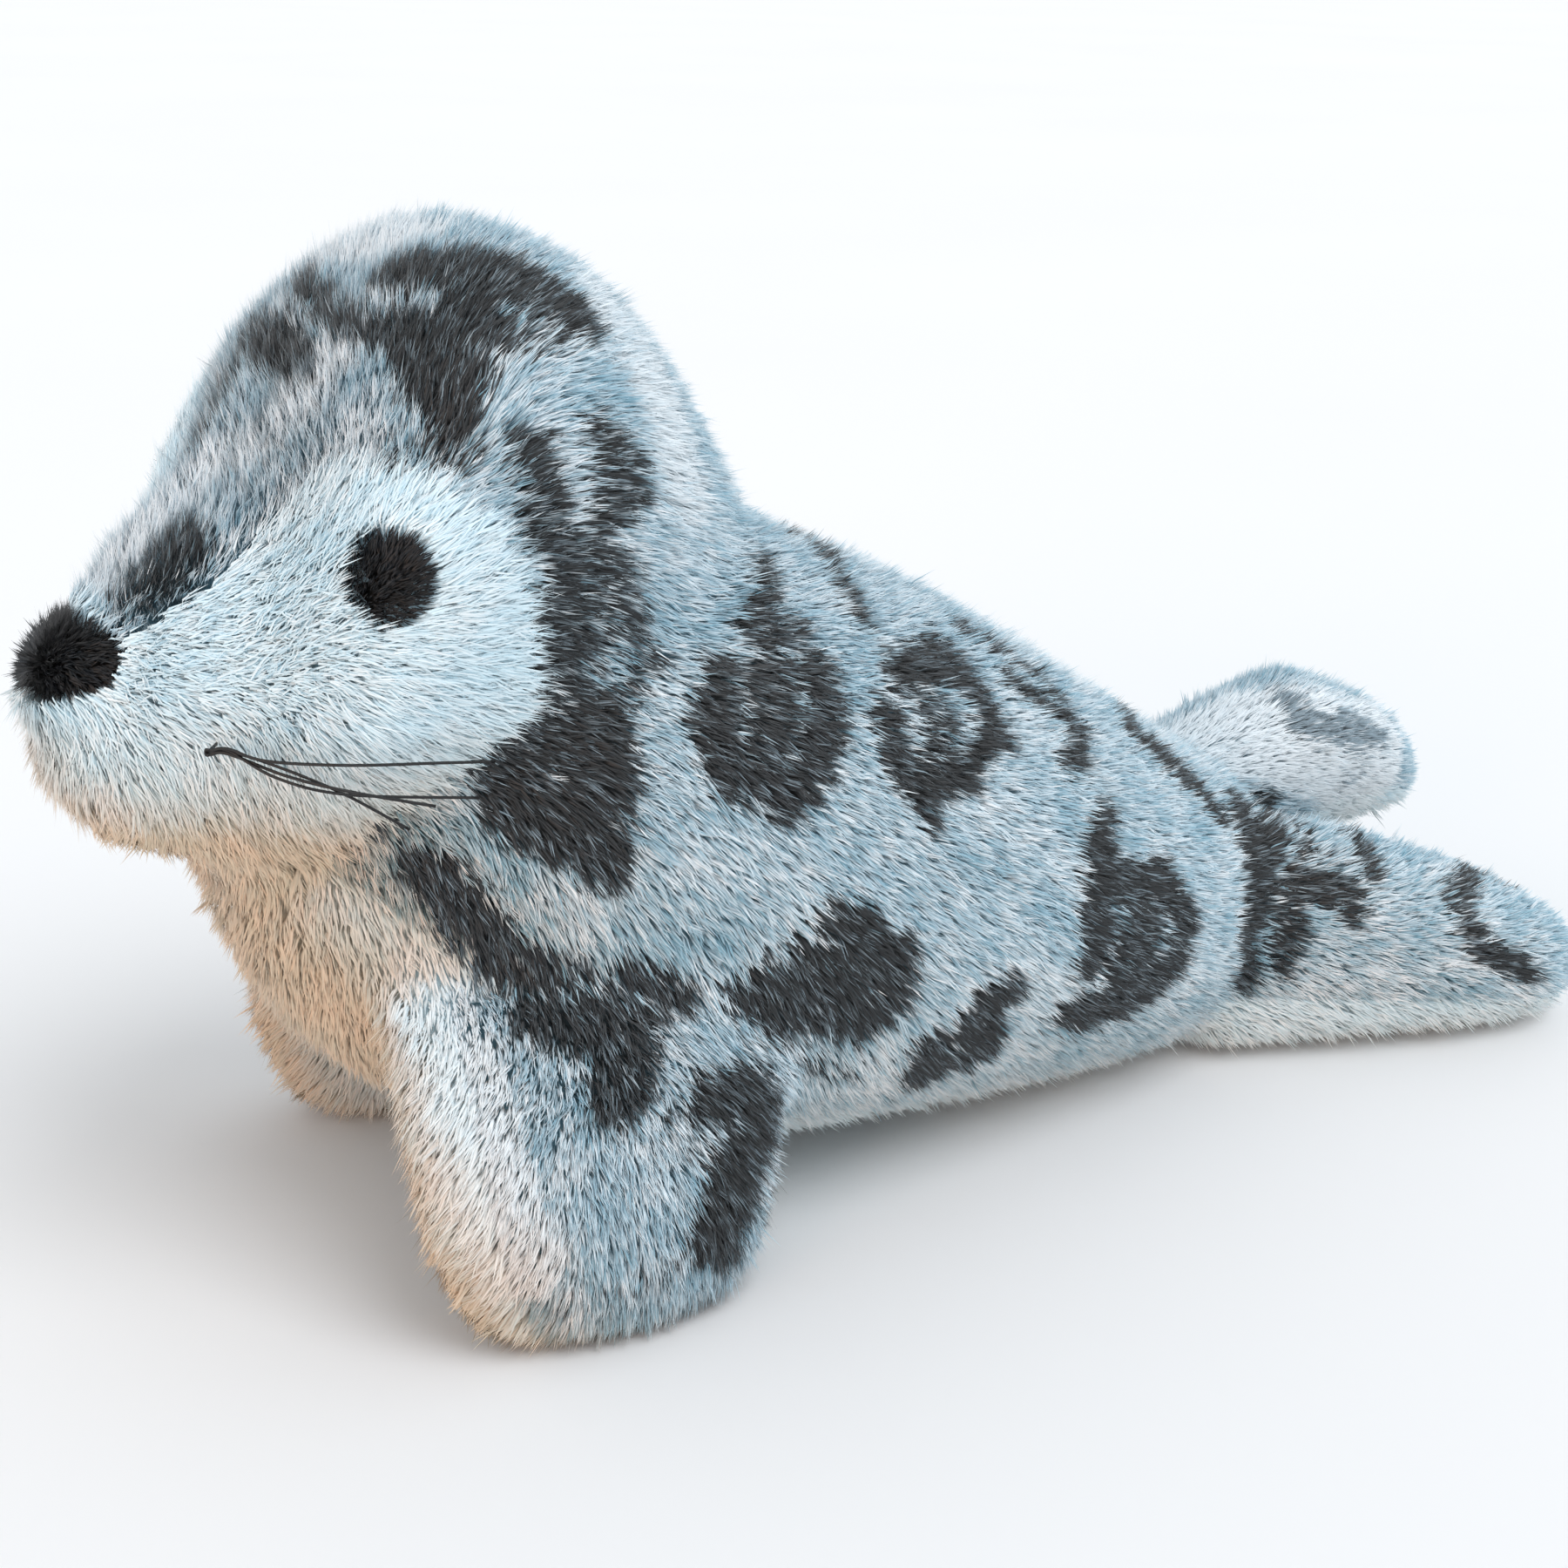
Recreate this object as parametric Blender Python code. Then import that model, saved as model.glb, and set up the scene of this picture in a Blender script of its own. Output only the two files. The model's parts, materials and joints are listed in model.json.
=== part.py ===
"""Plush seal dog toy, lying on its belly with its front flippers down and its nose towards -X.

Metres, +Z up. The origin is on the floor under the middle of the toy, and Y = 0 is its plane of symmetry.
The skin is one lofted form. Each fabric panel is a stretch of that form with a real thickness, from the
tips of the pile to the back of the cloth, and it meets the next panel at a sewn seam.
"""

import math

import bmesh
import bpy
import numpy as np
from mathutils import Vector

# Overall sizes
TOY_LENGTH = 0.3020
CROWN_HEIGHT = 0.1605
NAPE_HEIGHT = 0.1155
CHIN_HEIGHT = 0.0730
RUMP_HEIGHT = 0.0520
HEAD_WIDTH = 0.0920
NECK_WIDTH = 0.0780
BODY_WIDTH = 0.0940
RUMP_WIDTH = 0.0500
MUZZLE_WIDTH = 0.0460

# Plush
PANEL_THICKNESS = 0.0055
SEAM_DIP = 0.0020
SEAM_SHOULDER = 0.0028
SEAM_GAP = 0.0004
SEAT_GAP = 0.0005
STUFFING_GAP = 0.0013
FLIPPER_STUFFING_GAP = 0.0020

# Face
NOSE_WIDTH = 0.0240
NOSE_BULGE = 0.0010
NOSE_REACH = 0.0022
EYE_DIAMETER = 0.0128
EYE_DOME = 0.0010
EYE_RIM_DROP = 0.0012
EYE_FOOT_BEVEL = 0.0006
EYE_BACKING = 0.0014
WHISKER_DIAMETER = 0.0007
KNOT_DIAMETER = 0.0028
EYE_PLACE = (9.5, math.radians(87))
KNOT_PLACE = (5.9, math.radians(103))
# Four threads on each cheek: ring, degrees from the back line and height over the pile in mm
WHISKER_PATHS = (
    ((6.9, 107.5, 0.9), (8.4, 116.0, 1.0), (10.8, 117.8, 1.1), (12.6, 112.0, 2.0), (13.9, 103.0, 3.0)),
    ((6.9, 110.0, 0.9), (8.5, 119.0, 1.0), (10.2, 121.0, 1.1), (11.6, 122.0, 1.4), (14.1, 114.0, 2.8)),
    ((6.9, 112.5, 0.9), (8.6, 122.0, 1.0), (10.2, 124.5, 1.0), (11.6, 126.0, 1.2), (13.8, 122.5, 2.4)),
    ((6.8, 115.0, 0.9), (8.5, 125.0, 1.2), (10.0, 127.5, 2.4), (12.5, 121.0, 2.8), (14.4, 108.0, 4.0)),
)

# Front flippers, whose soles stand on the floor, set back from the front of the chest
FRONT_FLIPPER_WIDTH = 0.0660
FRONT_FLIPPER_THICKNESS = 0.0280
FRONT_FLIPPER_HEIGHT = 0.0540
FRONT_FLIPPER_SETBACK = {"left": 0.0468, "right": 0.0508}
FRONT_FLIPPER_SPREAD = 0.0405

# Tail flippers: the left one lies on the floor and stops short, and the right one is lifted
TAIL_FLIPPER_HEIGHT = 0.0500
TAIL_FLIPPER_WIDTH = 0.0350
TAIL_FLIPPER_SPREAD = 0.0280
TAIL_LIFTS = {"left": 0.000, "right": 0.027}
TIP_SHARE = 0.3
FLIPPER_ROUNDNESS = 2.2
TAIL_SHORTFALL = {"left": 0.0135, "right": 0.0005}

# Squeaker: a hollow bulb with a reed tube in its neck, in a well in the stuffing
SQUEAKER_DIAMETER = 0.0340
SQUEAKER_HEIGHT = 0.0180
SQUEAKER_WALL = 0.0013
SQUEAKER_X = -0.0200
SQUEAKER_Z = 0.0440
REED_DIAMETER = 0.0080
REED_LENGTH = 0.0110
REED_BORE = 0.0030
REED_FLANGE = 0.0110
REED_FLANGE_THICKNESS = 0.0014

LEFT, RIGHT = -1, 1
FLOOR = 0.0


def clear_scene():
    for item in list(bpy.data.objects):
        bpy.data.objects.remove(item, do_unlink=True)


def material(name, colour, roughness):
    made = bpy.data.materials.get(name)
    if made is None:
        made = bpy.data.materials.new(name)
        made.use_nodes = True
        shader = made.node_tree.nodes["Principled BSDF"]
        shader.inputs["Base Color"].default_value = (*colour, 1.0)
        shader.inputs["Roughness"].default_value = roughness
        shader.inputs["Metallic"].default_value = 0.0
    return made


def add_object(name, points, faces, look):
    mesh = bpy.data.meshes.new(name)
    mesh.from_pydata([tuple(map(float, p)) for p in points], [], faces)
    mesh.validate()
    made = bpy.data.objects.new(name, mesh)
    bpy.context.scene.collection.objects.link(made)
    mesh.materials.append(look)
    mesh.shade_smooth()
    mesh.set_sharp_from_angle(angle=math.radians(40))
    return made


# The form of the head and body
# Each station is a cross-section from a point on the back line to a point on the underside.
NOSE_X = NOSE_REACH - TOY_LENGTH / 2
CHEST_X = NOSE_X + 0.0795 * TOY_LENGTH


def station_rows():
    """Rows of: top x, top z, bottom x, bottom z, half width, how far the middle bows up, roundness.

    The places along the toy are shares of its length. The heights are shares of the sizes they lie between.
    """
    tall, slope = CROWN_HEIGHT - CHIN_HEIGHT, NAPE_HEIGHT - RUMP_HEIGHT
    head, neck, body = HEAD_WIDTH / 2, NECK_WIDTH / 2, BODY_WIDTH / 2
    nose, muzzle, rump = NOSE_WIDTH / 2, MUZZLE_WIDTH / 2, RUMP_WIDTH / 2

    def along(share):
        return NOSE_X + share * TOY_LENGTH

    def chest(share):
        return CHEST_X + share * TOY_LENGTH

    def face(share):
        return CHIN_HEIGHT + share * tall

    def crown(share):
        return CROWN_HEIGHT + share * tall

    def throat(share):
        return CHIN_HEIGHT * (1 + share)

    def spine(share):
        return NAPE_HEIGHT + share * slope

    def rear(share):
        return RUMP_HEIGHT + share * slope

    def belly(share):
        return FLOOR + share * RUMP_HEIGHT

    rows = [
        # nose
        (along(0.0017), face(0.3314), along(0.0000), face(0.3086), nose * 0.12, 0.0, 2.0),
        (along(0.0099), face(0.3829), along(-0.0043), face(0.2686), nose * 0.62, -0.022, 2.1),
        (along(0.0331), face(0.4343), along(-0.0040), face(0.2229), nose, -0.098, 2.3),
        # muzzle
        (along(0.0447), face(0.4743), along(0.0013), face(0.1257), muzzle * 0.72, -0.065, 2.4),
        (along(0.0596), face(0.5200), along(0.0149), face(0.0514), muzzle * 0.85, -0.022, 2.4),
        (along(0.0778), face(0.5657), along(0.0315), face(0.0171), muzzle, 0.0, 2.3),
        # brow, crown and back of the head
        (along(0.0993), face(0.6286), along(0.0447), face(0.0023), head * 0.55, 0.022, 2.2),
        (along(0.1225), crown(-0.2514), along(0.0530), throat(-0.0096), head * 0.64, 0.043, 2.2),
        (along(0.1507), crown(-0.1257), along(0.0596), throat(-0.0205), head * 0.75, 0.087, 2.1),
        (along(0.1854), crown(-0.0343), along(0.0646), throat(-0.0301), head * 0.86, 0.109, 2.1),
        (along(0.2252), crown(0.0), along(0.0685), throat(-0.0397), head * 0.95, 0.130, 2.1),
        (along(0.2715), crown(-0.0629), along(0.0722), throat(-0.0507), head, 0.152, 2.1),
        (along(0.3129), crown(-0.2000), along(0.0748), throat(-0.0644), head * 0.96, 0.174, 2.1),
        (along(0.3460), spine(0.1890), along(0.0768), throat(-0.0822), head * 0.90, 0.174, 2.1),
        # neck seam, shoulders and chest
        (along(0.3709), spine(0.0), chest(-0.0007), throat(-0.1096), neck, 0.152, 2.1),
        (along(0.4007), spine(-0.0945), chest(0.0050), throat(-0.2192), neck * 1.05, 0.174, 2.1),
        (along(0.4437), spine(-0.1811), chest(0.0199), throat(-0.3699), body * 0.94, 0.174, 2.0),
        (along(0.4901), spine(-0.2913), chest(0.0497), throat(-0.5342), body * 0.98, 0.130, 2.0),
        (along(0.5464), spine(-0.4488), chest(0.1093), throat(-0.7260), body, 0.087, 2.0),
        (along(0.6060), spine(-0.6299), chest(0.2119), throat(-0.8904), body * 0.98, 0.043, 2.0),
        # belly and rump
        (along(0.6589), rear(0.2047), chest(0.3344), belly(0.0577), body * 0.87, 0.022, 1.9),
        (along(0.6937), rear(0.1024), chest(0.4470), belly(-0.0096), body * 0.76, 0.022, 1.9),
        (along(0.7136), rear(0.0551), along(0.6060), belly(-0.0346), rump * 1.26, 0.0, 1.9),
        (along(0.7252), rear(0.0079), along(0.6689), belly(-0.0192), rump, 0.0, 2.0),
        (along(0.7318), rear(-0.1260), along(0.7020), belly(0.1154), rump * 0.74, 0.0, 2.0),
        (along(0.7351), rear(-0.3150), along(0.7202), belly(0.3462), rump * 0.32, 0.0, 2.0),
    ]
    return [(*row[:5], row[5] * head, row[6]) for row in rows]


STATIONS = np.array(station_rows())
NOSE_RING = 2.0
NECK_RING = 14.0
LAST_RING = float(len(STATIONS) - 1)


def smooth_rows(rows, where):
    """Rows read at a fractional index on a Catmull-Rom curve."""
    last = len(rows) - 1
    where = min(max(where, 0.0), last)
    i = min(math.floor(where), last - 1)
    t = where - i
    before, start = rows[max(i - 1, 0)], rows[i]
    end, after = rows[i + 1], rows[min(i + 2, last)]
    lead, trail = (end - before) / 2, (after - start) / 2
    return (
        (2 * t**3 - 3 * t**2 + 1) * start
        + (t**3 - 2 * t**2 + t) * lead
        + (3 * t**2 - 2 * t**3) * end
        + (t**3 - t**2) * trail
    )


def rounded(value, roundness):
    return math.copysign(abs(value) ** (2 / roundness), value)


def skin(ring, angle, side):
    """The outer skin: angle 0 is the back line and 180 degrees the underside."""
    top_x, top_z, low_x, low_z, half, bow, roundness = smooth_rows(STATIONS, ring)
    up, out = rounded(math.cos(angle), roundness), rounded(math.sin(angle), roundness)
    reach = np.array([(top_x - low_x) / 2, (top_z - low_z) / 2])
    middle = np.array([(top_x + low_x) / 2, (top_z + low_z) / 2])
    across = np.array([-reach[1], reach[0]]) / np.linalg.norm(reach)
    across *= math.copysign(1.0, across[1])
    place = middle + up * reach + bow * math.sin(angle) ** 2 * across
    return np.array([place[0], side * out * half, place[1]])


def inset(form, u, v, depth):
    """The point of a form moved in by depth: along its normal, or by a smaller section."""
    if form.outward is None:
        return form.surface(u, v, depth)
    here = form(u, v)
    du, dv = form.reach
    along = form(u + du, v) - form(u - du, v)
    around = form(u, v + dv) - form(u, v - dv)
    normal = np.cross(along, around)
    length = np.linalg.norm(normal)
    if length < 1e-12:
        return here
    return here - depth * form.outward * normal / length


class Form:
    """A closed surface of two parameters, with the sign that makes its normals point out.

    The reach is how far to each side a normal looks, which evens out the normals over tight folds.
    A form without an outward sign has sections of its own that shrink by a depth.
    """

    def __init__(self, surface, outward=None, reach=(0.5, 0.12)):
        self.surface = surface
        self.outward = outward
        self.reach = reach

    def __call__(self, u, v):
        return self.surface(u, v)


SIDE_FORMS = {
    side: Form(lambda u, v, side=side: skin(u, v, side), side) for side in (LEFT, RIGHT)
}


def on_floor(point, level=FLOOR):
    return np.array([point[0], point[1], max(point[2], level)])


def eased(low, high, count, shoulder):
    """Values from low to high with a narrow first and last step, for the rounded edge at a seam."""
    shoulder = min(shoulder, (high - low) / 4)
    return [low, *np.linspace(low + shoulder, high - shoulder, count), high]


def grid_solid(outer, inner):
    """One closed solid between two grids of points with the same rows and columns."""
    rows, columns = len(outer), len(outer[0])
    points = [p for row in outer for p in row] + [p for row in inner for p in row]
    below = rows * columns

    def at(i, j, layer):
        return layer * below + i * columns + j

    faces = []
    for i in range(rows - 1):
        for j in range(columns - 1):
            faces.append((at(i, j, 0), at(i, j + 1, 0), at(i + 1, j + 1, 0), at(i + 1, j, 0)))
            faces.append((at(i, j, 1), at(i + 1, j, 1), at(i + 1, j + 1, 1), at(i, j + 1, 1)))
    for i in range(rows - 1):
        faces.append((at(i, 0, 0), at(i + 1, 0, 0), at(i + 1, 0, 1), at(i, 0, 1)))
        end = columns - 1
        faces.append((at(i, end, 0), at(i, end, 1), at(i + 1, end, 1), at(i + 1, end, 0)))
    for j in range(columns - 1):
        faces.append((at(0, j, 0), at(0, j, 1), at(0, j + 1, 1), at(0, j + 1, 0)))
        end = rows - 1
        faces.append((at(end, j, 0), at(end, j + 1, 0), at(end, j + 1, 1), at(end, j, 1)))
    return points, faces


def tidy(made):
    """Splits a closed mesh into triangles that face out."""
    mesh = bmesh.new()
    mesh.from_mesh(made.data)
    bmesh.ops.remove_doubles(mesh, verts=mesh.verts, dist=1e-6)
    bmesh.ops.triangulate(mesh, faces=mesh.faces)
    bmesh.ops.dissolve_degenerate(mesh, edges=mesh.edges, dist=1e-5)
    bmesh.ops.triangulate(mesh, faces=mesh.faces)
    bmesh.ops.recalc_face_normals(mesh, faces=mesh.faces)
    if mesh.calc_volume(signed=True) < 0:
        bmesh.ops.reverse_faces(mesh, faces=mesh.faces)
    mesh.to_mesh(made.data)
    mesh.free()
    return made


def relaxed(grid, rounds):
    """Evens out the middle points of a grid, so that the back of a panel doesn't fold in tight places."""
    grid = np.array(grid)
    for _ in range(rounds):
        around = (grid[:-2, 1:-1] + grid[2:, 1:-1] + grid[1:-1, :-2] + grid[1:-1, 2:]) / 4
        grid[1:-1, 1:-1] = (grid[1:-1, 1:-1] + around) / 2
    return grid


def panel(name, form, ends, low, high, counts, look, edge_rows=(True, True), rounds=0):
    """A fabric panel of a form: from ends[0] to ends[1], between the seam angles low(u) and high(u).

    The outer face dips at its seams, and the inner face is one cloth thickness further in.
    """
    middle_u = (ends[0] + ends[1]) / 2
    middle_v = (low(middle_u) + high(middle_u)) / 2
    step = 0.05
    pace = np.linalg.norm(form(middle_u + step, middle_v) - form(middle_u - step, middle_v)) / (2 * step)
    outer, inner = [], []
    places = eased(ends[0], ends[1], counts[0], SEAM_SHOULDER / pace)
    for i, u in enumerate(places):
        first, last = low(u), high(u)
        centre = (first + last) / 2
        turn = np.linalg.norm(form(u, centre + step) - form(u, centre - step)) / (2 * step)
        angles = eased(first, last, counts[1], SEAM_SHOULDER / max(turn, 1e-4))
        end_row = (i == 0 and edge_rows[0]) or (i == len(places) - 1 and edge_rows[1])
        outer_row, inner_row = [], []
        for j, angle in enumerate(angles):
            edge = end_row or j in (0, len(angles) - 1)
            outer_row.append(on_floor(inset(form, u, angle, SEAM_DIP if edge else 0.0)))
            inner_row.append(on_floor(inset(form, u, angle, PANEL_THICKNESS), FLOOR + PANEL_THICKNESS))
        outer.append(outer_row)
        inner.append(inner_row)
    points, faces = grid_solid(outer, relaxed(inner, rounds))
    return tidy(add_object(name, points, faces, look))


def capped_rings(name, rings, look):
    """A closed solid through rings of points, with a fan of faces over each end."""
    count = len(rings[0])
    points = [p for ring in rings for p in ring]
    faces = []
    for i in range(len(rings) - 1):
        for j in range(count):
            k = (j + 1) % count
            faces.append((i * count + j, i * count + k, (i + 1) * count + k, (i + 1) * count + j))
    for row in (0, len(rings) - 1):
        centre = len(points)
        points.append(np.mean(rings[row], axis=0))
        for j in range(count):
            faces.append((row * count + j, row * count + (j + 1) % count, centre))
    return tidy(add_object(name, points, faces, look))


def closed_loft(name, form, places, angles, depth, look, level):
    """A solid that fills a form, inset by depth and kept above a level."""
    rings = [[on_floor(inset(form, u, v, depth), level) for v in angles] for u in places]
    return capped_rings(name, rings, look)


def spun(name, profile, look, count=24, turn=None, place=(0.0, 0.0, 0.0)):
    """A body of revolution about Z from a closed profile of (radius, height); radius 0 ends at a pole."""
    points, rows = [], []
    for radius, height in profile:
        if radius == 0.0:
            rows.append([len(points)] * count)
            points.append((0.0, 0.0, height))
        else:
            rows.append(range(len(points), len(points) + count))
            for j in range(count):
                angle = 2 * math.pi * j / count
                points.append((radius * math.cos(angle), radius * math.sin(angle), height))
    faces = []
    closed = profile[0][0] > 0.0
    for i in range(len(rows) if closed else len(rows) - 1):
        a, b = rows[i], rows[(i + 1) % len(rows)]
        for j in range(count):
            k = (j + 1) % count
            corners = list(dict.fromkeys((a[j], a[k], b[k], b[j])))
            if len(corners) > 2:
                faces.append(corners)
    if turn is not None:
        points = [turn @ Vector(p) for p in points]
    points = [np.array(p) + np.array(place) for p in points]
    return tidy(add_object(name, points, faces, look))


def tube_points(path, radius, count):
    """Rings of points along a path, and the faces of a closed round rod."""
    path = [Vector(p) for p in path]
    points, faces = [], []
    side = None
    for i, p in enumerate(path):
        ahead = (path[min(i + 1, len(path) - 1)] - path[max(i - 1, 0)]).normalized()
        if side is None:
            side = ahead.orthogonal().normalized()
        side = (side - ahead * side.dot(ahead)).normalized()
        other = ahead.cross(side)
        for j in range(count):
            angle = 2 * math.pi * j / count
            points.append(p + radius * (math.cos(angle) * side + math.sin(angle) * other))
    for i in range(len(path) - 1):
        for j in range(count):
            k = (j + 1) % count
            faces.append((i * count + j, i * count + k, (i + 1) * count + k, (i + 1) * count + j))
    faces.append(tuple(range(count)))
    faces.append(tuple((len(path) - 1) * count + j for j in range(count)))
    return points, faces


def all_round(count):
    return [2 * math.pi * (j + 0.5) / count for j in range(count)]


def cut(made, cutter, operation="DIFFERENCE"):
    """Takes a hidden cutter's shape out of a piece, or joins it on, or keeps only what they share."""
    cutter.hide_render = True
    cutter.display_type = "WIRE"
    step = made.modifiers.new(f"cut_by_{cutter.name}", "BOOLEAN")
    step.operation = operation
    step.solver = "EXACT"
    step.use_self = operation == "UNION"
    step.object = cutter
    return made


# Seams of the head and body, in degrees from the back line
def curve_of(pairs):
    places = [p for p, _ in pairs]
    values = np.radians([v for _, v in pairs])

    def read(u):
        k = np.interp(u, places, range(len(places)))
        return float(smooth_rows(values, k))

    return read


face_seam = curve_of(
    [(2.0, 49), (4.0, 50), (6.0, 46), (7.0, 49), (8.6, 62), (10.0, 73), (11.3, 79), (12.5, 83), (14.0, 89)]
)
belly_seam = curve_of(
    [(14.0, 138), (15.5, 130), (17.0, 125), (18.5, 130), (20.0, 138), (22.0, 142), (25.0, 142)]
)


def gap_angle(form, u, v, gap=SEAM_GAP / 2):
    """The angle that a seam's half gap takes at this place."""
    step = 0.02
    turn = np.linalg.norm(form(u, v + step) - form(u, v - step)) / (2 * step)
    return gap / max(turn, 1e-4)


def ring_gap(ring, gap=SEAM_GAP / 2):
    step = 0.05
    paces = [
        np.linalg.norm(skin(ring + step, a, LEFT) - skin(ring - step, a, LEFT)) / (2 * step)
        for a in np.linspace(0.05, math.pi - 0.05, 12)
    ]
    return gap / min(paces)


def shifted(seam, form, sign):
    """A seam moved off its line by half the seam's gap."""
    return lambda u: seam(u) + sign * gap_angle(form, u, seam(u))


def back_line(form):
    return lambda u: gap_angle(form, u, 0.3)


def under_line(form):
    return lambda u: math.pi - gap_angle(form, u, math.pi - 0.3)


def both_sides(u, v):
    """The skin read all the way round: angles past 180 degrees are on the right."""
    if v <= math.pi:
        return skin(u, v, LEFT)
    return skin(u, 2 * math.pi - v, RIGHT)


WHOLE_FORM = Form(both_sides, LEFT)


def make_skin(spotted, white, black, thread):
    neck_gap = ring_gap(NECK_RING)
    nose_gap = ring_gap(NOSE_RING)
    body_end = LAST_RING - 0.3
    for side, word in ((LEFT, "left"), (RIGHT, "right")):
        form = SIDE_FORMS[side]
        head = (NOSE_RING + nose_gap, NECK_RING - neck_gap)
        top, over_face = back_line(form), shifted(face_seam, form, -1)
        panel(f"head_panel_{word}", form, head, top, over_face, (22, 7), spotted)
        below_seam, under = shifted(face_seam, form, 1), under_line(form)
        face = panel(f"face_patch_{word}", form, head, below_seam, under, (20, 9), white, rounds=2)
        make_eye(word, form, face, black)
        make_whiskers(word, form, face, thread)
        body = (NECK_RING + neck_gap, body_end)
        over_belly = shifted(belly_seam, form, -1)
        name = f"back_panel_{word}"
        panel(name, form, body, top, over_belly, (18, 10), spotted, edge_rows=(True, False))
    belly = shifted(belly_seam, SIDE_FORMS[LEFT], 1)
    ends = (NECK_RING + neck_gap, body_end)
    name = "chest_and_belly_panel"

    def far_seam(u):
        return 2 * math.pi - belly(u)

    panel(name, WHOLE_FORM, ends, belly, far_seam, (20, 8), white, edge_rows=(True, False))


def make_nose(black):
    """The tip of the muzzle: a padded black cap that closes the ring where the four face panels end."""
    gap = ring_gap(NOSE_RING)
    angles = all_round(20)
    rings = []
    for u, bulge in ((0.15, 1.0), (0.6, 1.0), (1.1, 1.0), (1.6, 0.8), (NOSE_RING - gap, -1.0)):
        rings.append([inset(WHOLE_FORM, u, v, -NOSE_BULGE * bulge) for v in angles])
    rings.append([inset(WHOLE_FORM, NOSE_RING - gap, v, PANEL_THICKNESS) for v in angles])
    capped_rings("nose", rings, black)


def frame_on(form, place):
    """The point of a form at a place, and the turn that takes Z to its outward normal there."""
    here = form(*place)
    normal = Vector(inset(form, *place, -1.0) - here).normalized()
    return here, normal, normal.to_track_quat("Z", "Y")


def make_eye(word, form, face, black):
    """A domed black plush disc in a round pocket of the face patch."""
    here, _, turn = frame_on(form, EYE_PLACE)
    radius, floor = EYE_DIAMETER / 2, EYE_BACKING - PANEL_THICKNESS
    foot = floor + SEAT_GAP
    dome = [(radius, -EYE_RIM_DROP), (radius * 0.88, EYE_DOME * 0.35), (radius * 0.5, EYE_DOME * 0.85)]
    dome.append((0.0, EYE_DOME))
    profile = [(0.0, foot), (radius * 0.96, foot), (radius, foot + EYE_FOOT_BEVEL), *dome]
    spun(f"eye_{word}", profile, black, 20, turn, here)
    wide = radius + SEAT_GAP
    pocket = [(0.0, floor), (wide, floor), (wide, EYE_DIAMETER), (0.0, EYE_DIAMETER)]
    cut(face, spun(f"eye_pocket_{word}", pocket, black, 20, turn, here))


def make_whiskers(word, form, face, thread):
    """A knot with four threads that lie back over the cheek, and a stem through a hole in the cloth."""
    here, normal, turn = frame_on(form, KNOT_PLACE)
    radius, ball = WHISKER_DIAMETER / 2, KNOT_DIAMETER / 2
    centre = Vector(here) + normal * (ball + SEAT_GAP)
    profile = [(0.0, -ball)]
    profile += [(ball * math.cos(a), ball * math.sin(a)) for a in np.radians((-60, -25, 10, 45, 70))]
    profile.append((0.0, ball))
    knot = spun(f"whiskers_{word}", profile, thread, 12, turn, centre)
    points, faces = [], []
    stem = (centre, Vector(here) - normal * (PANEL_THICKNESS - SEAT_GAP))
    paths = [stem]
    for stops in WHISKER_PATHS:
        places = np.array([inset(form, u, math.radians(v), -lift / 1000) for u, v, lift in stops])
        nodes = np.vstack([np.array(centre)[None] + (places[0] - centre) * 0.25, places])
        paths.append([smooth_rows(nodes, t) for t in np.linspace(0, len(nodes) - 1, 9)])
    for path in paths:
        more, sides = tube_points(path, radius, 4)
        faces += [tuple(k + len(points) for k in side) for side in sides]
        points += more
    cut(knot, tidy(add_object(f"whisker_threads_{word}", points, faces, thread)), "UNION")
    wide = radius + SEAT_GAP
    low, high = -2 * PANEL_THICKNESS, PANEL_THICKNESS
    hole = [(0.0, low), (wide, low), (wide, high), (0.0, high)]
    cut(face, spun(f"whisker_hole_{word}", hole, thread, 8, turn, here))


# Flippers
def flipper_form(rows, side, along_a, along_b):
    """A loft of cross-sections: rows of centre x, outward y, z, half size along a and along b."""
    rows = np.array(rows)
    along_a, along_b = (np.array([d[0], d[1] * side, d[2]]) for d in (along_a, along_b))

    def surface(u, v, depth=0.0):
        x, y, z, a, b = smooth_rows(rows, u)
        centre = np.array([x, y * side, z])
        reach_a = max(a - depth, a * TIP_SHARE) * rounded(math.cos(v), FLIPPER_ROUNDNESS)
        reach_b = max(b - depth, b * TIP_SHARE) * rounded(math.sin(v), FLIPPER_ROUNDNESS)
        return centre + reach_a * along_a + reach_b * along_b

    return Form(surface)


def front_flipper(side, x):
    y, high = FRONT_FLIPPER_SPREAD, FRONT_FLIPPER_HEIGHT
    a, b = FRONT_FLIPPER_THICKNESS / 2, FRONT_FLIPPER_WIDTH / 2
    rows = [
        (x + 0.001, y - 0.0110, FLOOR + high, a * 0.86, b),
        (x + 0.000, y - 0.0040, FLOOR + high * 0.72, a, b * 0.98),
        (x - 0.001, y, FLOOR + high * 0.42, a * 1.03, b * 0.92),
        (x + 0.000, y + 0.0010, FLOOR + high * 0.17, a * 0.97, b * 0.80),
        (x + 0.001, y + 0.0010, FLOOR + high * 0.02, a * 0.80, b * 0.64),
        (x + 0.002, y + 0.0010, FLOOR - high * 0.06, a * 0.45, b * 0.40),
    ]
    return flipper_form(rows, side, (0.0, 1.0, 0.0), (1.0, 0.0, 0.0))


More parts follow.
